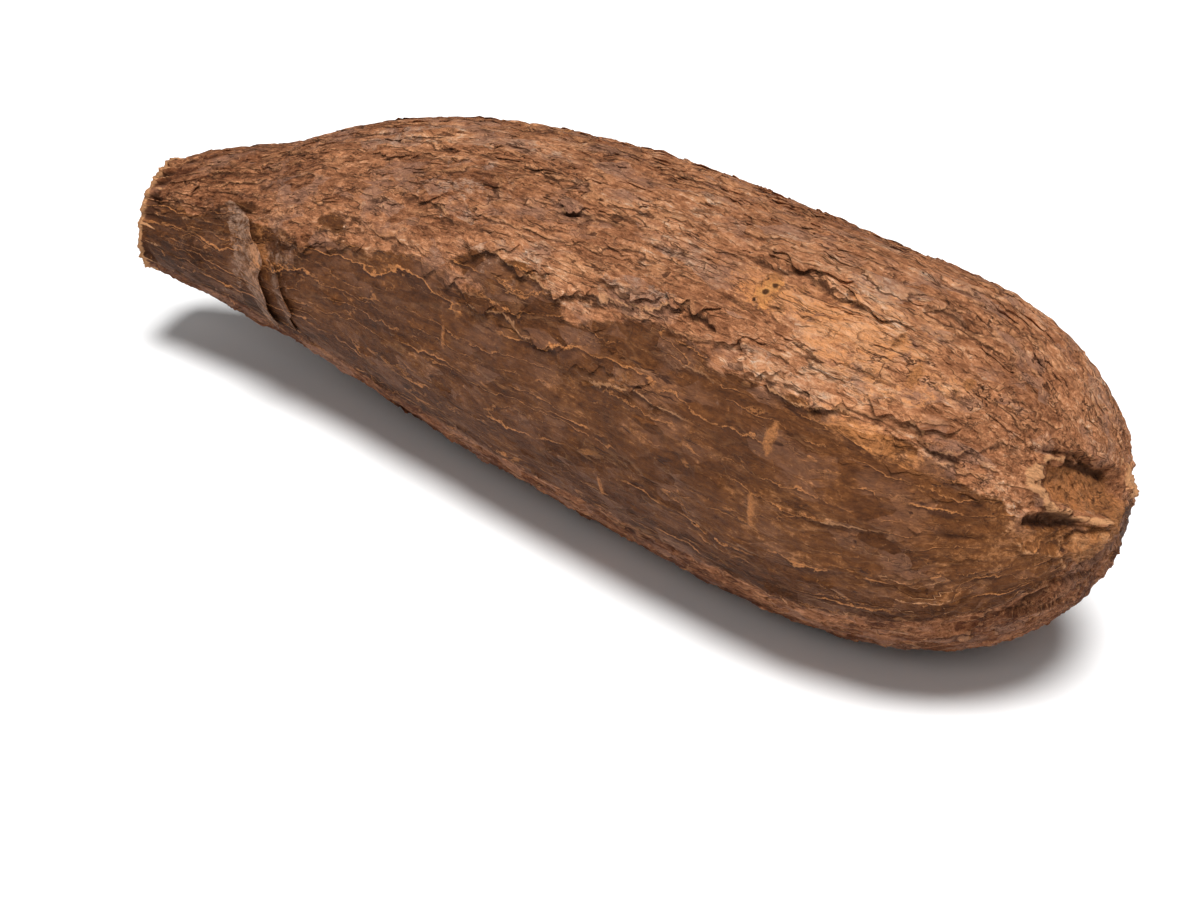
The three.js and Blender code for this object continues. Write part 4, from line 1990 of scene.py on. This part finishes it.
    def _papery(self) -> None:
        """Thin lifted edges that run lengthwise over the smooth layer, each with a painted
        highlight on it and a painted shadow under it.
        """
        graph = self.graph
        bare = graph.plus(0.10, graph.times(graph.step(self.bark, 1.0, 0.5), 0.90))
        jag = self._noise(0.45, 5, 0.65, along=0.4)
        sway = self._noise(0.055, 3, 0.5, along=0.35)
        for count, pale, dark, reach, drift in (
            (31, 0.62, 0.80, 0.50, 0.10),
            (57, 0.46, 0.62, 0.34, 0.16),
        ):
            phase = graph.plus(
                graph.times(self.turn, count),
                graph.centred(sway, count * 0.09),
                graph.centred(jag, count * 0.018),
            )
            loop = graph.math("FRACT", phase)
            fall = graph.step(loop, 0.520, 0.490)
            lit_hair = graph.times(graph.step(loop, 0.440, 0.475), fall)
            under = graph.times(graph.step(loop, 0.485, 0.530), graph.step(loop, 0.680, 0.540))
            rise = graph.times(graph.step(loop, 0.10, 0.475), fall)
            gate = graph.times(graph.step(self._noise(drift, 4, 0.6, along=0.28), 0.47, 0.58), bare)
            self._raise(graph.times(rise, gate, reach))
            # Painted shadow under each lifted edge and painted highlight on it.
            self._paint(graph.times(under, gate, dark), self.tints.shade_and_soot)
            self._paint(graph.times(lit_hair, gate, pale), self.tints.honey_and_highlight)

    def _corky(self) -> None:
        """Corky scar tissue, dark-flecked, and the pale rims of scars."""
        graph, tints = self.graph, self.tints
        self.wave = graph.centred(self._noise(0.8, 6, 0.7))
        crumb = self._noise(2.0, 5, 0.7)
        self.crumbs = graph.centred(crumb)
        tan = graph.plus(graph.stored(Zone.TAN), graph.times(self.wave, 1.6))
        tan = graph.step(tan, 0.25, 0.95)
        cork = graph.mix(graph.step(crumb, 0.36, 0.64), tints.cork, tints.honey_and_highlight)
        self._paint(graph.times(tan, 0.72), cork)
        soot = graph.step(self._noise(0.7, 6, 0.75, along=0.6), 0.50, 0.36)
        self._paint(graph.times(soot, tan, 0.75), tints.shade_and_soot)
        self._raise(graph.times(tan, self.crumbs, 1.6))
        cream = graph.plus(graph.stored(Zone.CREAM), graph.times(self.wave, 1.3))
        cream = graph.step(cream, 0.30, 0.75)
        self._paint(graph.times(cream, 0.85), tints.straw_and_highlight)
        self._raise(graph.times(cream, self.crumbs, 0.8))

    def _torn(self) -> None:
        """Painted shadow in the gaps under torn lips, painted highlight on their lit edges, and
        painted shade in hollows.
        """
        graph, tints = self.graph, self.tints
        rift = graph.plus(graph.stored(Zone.RIFT), graph.times(self.wave, 2.2))
        torn = graph.stored(Zone.TORN)
        gap = graph.times(graph.step(rift, -0.15, 0.2), graph.step(rift, 1.5, 0.4))
        lit = graph.times(graph.step(rift, -0.7, -0.35), graph.step(rift, 0.05, -0.15))
        lit = graph.times(lit, graph.step(self.tile, 0.35, 0.75))
        strong = graph.step(torn, 0.05, 0.7)
        # Painted shadow under the torn lips and painted highlight on their edges.
        self._paint(graph.times(gap, strong, 0.72), tints.shade_and_soot)
        self._paint(graph.times(lit, strong, 0.55), tints.straw_and_highlight)
        self._sink(graph.times(graph.step(rift, -0.25, 0.35), torn, 0.5))
        # Painted shade in hollows.
        hollow = graph.step(graph.stored(Zone.HOLLOW_SHADE), 0.2, 0.9)
        self._paint(graph.times(hollow, 0.85), tints.shade_and_soot)

    def _cut_face(self) -> None:
        """Dried face of the knife cut, rayed from its middle."""
        graph, tints = self.graph, self.tints
        spoke = graph.vector("NORMALIZE", graph.scaled(self.bent, 0))
        rays = graph.noise(spoke, 9.0, 6, 0.7)
        dried = graph.step(self._noise(1.3, 6, 0.7), 0.35, 0.65)
        grey = graph.mix(dried, tints.plum, tints.straw_and_highlight)
        dark = graph.mix(graph.step(rays, 0.36, 0.62), tints.umber, grey)
        face = graph.step(graph.stored(Zone.WOOD), 0.3, 0.8)
        self._paint(face, dark)
        self._raise(graph.times(graph.centred(rays, 1.6), face))
        self._raise(graph.times(self.crumbs, face, 0.8))

    def _near(self, place: np.ndarray, squeeze: float = 1.0) -> Socket:
        """Distance from a place on the straightened root.

        Args:
            place: where the distance is nought.
            squeeze: how much more a step along the root counts than one round it.

        Returns:
            the distance, mm.
        """
        along, across, up = (float(part) for part in place)
        grain = self.graph.scaled(self.grain, squeeze)
        return self.graph.vector("DISTANCE", grain, (along * squeeze, across, up))

    def _scar(self) -> None:
        """The star-shaped orange scar with its little pits."""
        graph, tints = self.graph, self.tints
        ragged = graph.noise(self.grain, 0.55, 4, 0.6, along=0.8)
        spread = graph.plus(self._near(self.scar, 1.7), graph.centred(ragged, 11.0))
        star = graph.step(spread, 4.3, 3.3)
        fill = graph.mix(graph.step(spread, 3.6, 1.6), tints.honey_and_highlight, tints.flame)
        self._paint(graph.times(star, 0.95), fill)
        self._raise(graph.times(star, 0.3))
        for place, spot in zip(self.pits, PITS):
            hole = graph.step(self._near(place), spot.width, spot.width * 0.45)
            # Painted shade in the pits.
            self._paint(graph.times(hole, 0.92), tints.shade_and_soot)
            self._sink(graph.times(hole, 0.9))

    def _shade(self) -> None:
        """Joins colour, roughness and relief into the surface."""
        graph, bark = self.graph, self.bark
        fibre = self._noise(2.4, 6, 0.7, along=0.22)
        dusting = graph.centred(self._noise(1.7, 6, 0.7, along=0.7), 1.10)
        lumps = graph.centred(self._noise(0.55, 4, 0.6, along=0.4), 1.8)
        self._raise(graph.centred(fibre, 0.50))
        self._raise(graph.times(dusting, graph.plus(0.3, graph.times(bark, 0.7))))
        self._raise(graph.times(lumps, graph.plus(0.25, graph.times(bark, 0.75))))
        shader = graph.tree.nodes["Principled BSDF"]
        graph.feed(shader.inputs["Base Color"], self.paint)
        matt = graph.plus(0.56, graph.times(bark, 0.14), graph.times(fibre, 0.2))
        graph.feed(shader.inputs["Roughness"], matt)
        shader.inputs["Specular IOR Level"].default_value = self.specular
        bump = graph.add("ShaderNodeBump")
        bump.inputs["Strength"].default_value = 1.0
        bump.inputs["Distance"].default_value = MM
        graph.feed(bump.inputs["Height"], self.relief)
        graph.feed(shader.inputs["Normal"], bump.outputs["Normal"])


# ------------------------------------------------------------------ the studio


@dataclass(frozen=True)
class Studio:
    """White floor, soft light and the camera. Lengths are metres."""

    floor_half: float = 4.0
    floor_white: float = 0.93
    sky_strength: float = 0.18
    sun_strength: float = 4.4
    sun_spread: float = 28.0       # degrees that the sun's disc spans
    sun_place: tuple[float, float, float] = (0.30, -0.22, 1.14)
    fill_power: float = 2.4
    fill_size: float = 0.45
    fill_place: tuple[float, float, float] = (0.55, -0.95, 0.75)

    def build(self, aim: Vector) -> None:
        """Makes the floor, the lights and the world.

        Args:
            aim: what the lights point at.
        """
        self._floor()
        self._world()
        key = self._lamp("key", "SUN", self.sun_place, self.sun_strength, aim)
        key.angle = math.radians(self.sun_spread)
        fill = self._lamp("fill", "AREA", self.fill_place, self.fill_power, aim)
        fill.shape = "SQUARE"
        fill.size = self.fill_size
        bpy.context.scene.view_settings.view_transform = "Standard"

    def _floor(self) -> None:
        """Plain white floor at the root's resting height."""
        bpy.ops.mesh.primitive_plane_add(size=self.floor_half * 2, location=(0, 0, 0))
        floor = bpy.context.active_object
        floor.name = "studio_floor"
        material = bpy.data.materials.new("studio_white")
        material.use_nodes = True
        shader = material.node_tree.nodes["Principled BSDF"]
        shader.inputs["Base Color"].default_value = colour(*[self.floor_white] * 3)
        shader.inputs["Roughness"].default_value = 0.9
        shader.inputs["Specular IOR Level"].default_value = 0.1
        floor.data.materials.append(material)

    def _world(self) -> None:
        """Even white surroundings."""
        world = bpy.data.worlds.new("studio_sky")
        bpy.context.scene.world = world
        world.use_nodes = True
        tree = world.node_tree
        sky = tree.nodes["Background"]
        sky.inputs["Color"].default_value = colour(1.0, 1.0, 1.0)
        sky.inputs["Strength"].default_value = self.sky_strength
        seen = tree.nodes.new("ShaderNodeBackground")
        seen.inputs["Color"].default_value = colour(1.0, 1.0, 1.0)
        seen.inputs["Strength"].default_value = 1.0
        rays = tree.nodes.new("ShaderNodeLightPath")
        blend = tree.nodes.new("ShaderNodeMixShader")
        tree.links.new(rays.outputs["Is Camera Ray"], blend.inputs[0])
        tree.links.new(sky.outputs[0], blend.inputs[1])
        tree.links.new(seen.outputs[0], blend.inputs[2])
        tree.links.new(blend.outputs[0], tree.nodes["World Output"].inputs["Surface"])

    def _lamp(
        self, name: str, kind: str, place: tuple, energy: float, aim: Vector
    ) -> bpy.types.Light:
        """Lamp turned to the root.

        Args:
            name: what it is called after studio_.
            kind: SUN for the broad light from above, AREA for the fill.
            place: where it stands, metres.
            energy: its strength.
            aim: where it points.

        Returns:
            the lamp's data.
        """
        bpy.ops.object.light_add(type=kind, location=place)
        lamp = bpy.context.active_object
        lamp.name = f"studio_{name}"
        lamp.data.energy = energy
        heading = aim - Vector(place)
        lamp.rotation_euler = heading.to_track_quat("-Z", "Y").to_euler()
        return lamp.data


@dataclass(frozen=True)
class Viewpoint:
    """Where the camera stands. Lengths are metres, angles degrees."""

    azimuth: float = -49.4
    height: float = 26.0
    distance: float = 0.5748
    aim_x: float = 0.147           # aim, as a share of the box's length from its middle
    aim_y: float = -0.473          # and of its width
    aim_z: float = 0.48            # and of its height from the floor
    lens: float = 85.0
    sensor: float = 36.0

    def build(self, low: Vector, high: Vector) -> None:
        """Places the camera by the box of the part.

        Args:
            low: lowest corner of the part's box.
            high: its highest corner.
        """
        size = high - low
        middle = (low + high) / 2
        aim = Vector((
            middle.x + size.x * self.aim_x,
            middle.y + size.y * self.aim_y,
            low.z + size.z * self.aim_z,
        ))
        azimuth, height = math.radians(self.azimuth), math.radians(self.height)
        back = Vector((
            math.cos(azimuth) * math.cos(height),
            math.sin(azimuth) * math.cos(height),
            math.sin(height),
        ))
        bpy.ops.object.camera_add(location=aim + back * self.distance)
        camera = bpy.context.active_object
        camera.name = "studio_camera"
        camera.rotation_euler = (-back).to_track_quat("-Z", "Y").to_euler()
        camera.data.lens = self.lens
        camera.data.sensor_width = self.sensor
        camera.data.clip_start = 0.01
        bpy.context.scene.camera = camera


# ------------------------------------------------------------------------ main


def main() -> None:
    """Builds the root's looks and the scene around it."""
    logging.basicConfig(level=logging.INFO, format="%(name)s: %(message)s")
    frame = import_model()
    low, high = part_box(NODE)
    form = Form(frame["nodes"][NODE], low, high)
    maker = Skin(form)
    skin = maker.build()
    strip = ~maker.on_neck & ~maker.on_tail
    grid = (skin, maker.turn, maker.share, strip)
    small = Flakes(*grid)
    large = Flakes(*grid, steps=28, rows=7, thick_mm=0.45)
    scales = large.placed(NECK_SCALES, True) + large.placed(LONG_SCALES, False)
    flakes = (
        small.build("bark_flakes_a", small.scatter(1200, 5)),
        small.build("bark_flakes_b", small.scatter(1200, 6)),
        large.build("bark_scales", scales),
    )
    pits = [small.place_of(spot) for spot in PITS]
    finish = PeelFinish(small.place_of(SCAR), pits).build()
    for piece in (skin, *flakes):
        piece.data.materials.append(finish)
        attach(piece, "root")
        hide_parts(NODE)
    aim = (low + high) / 2
    Studio().build(aim)
    Viewpoint().build(low, high)


if __name__ == "__main__":
    main()
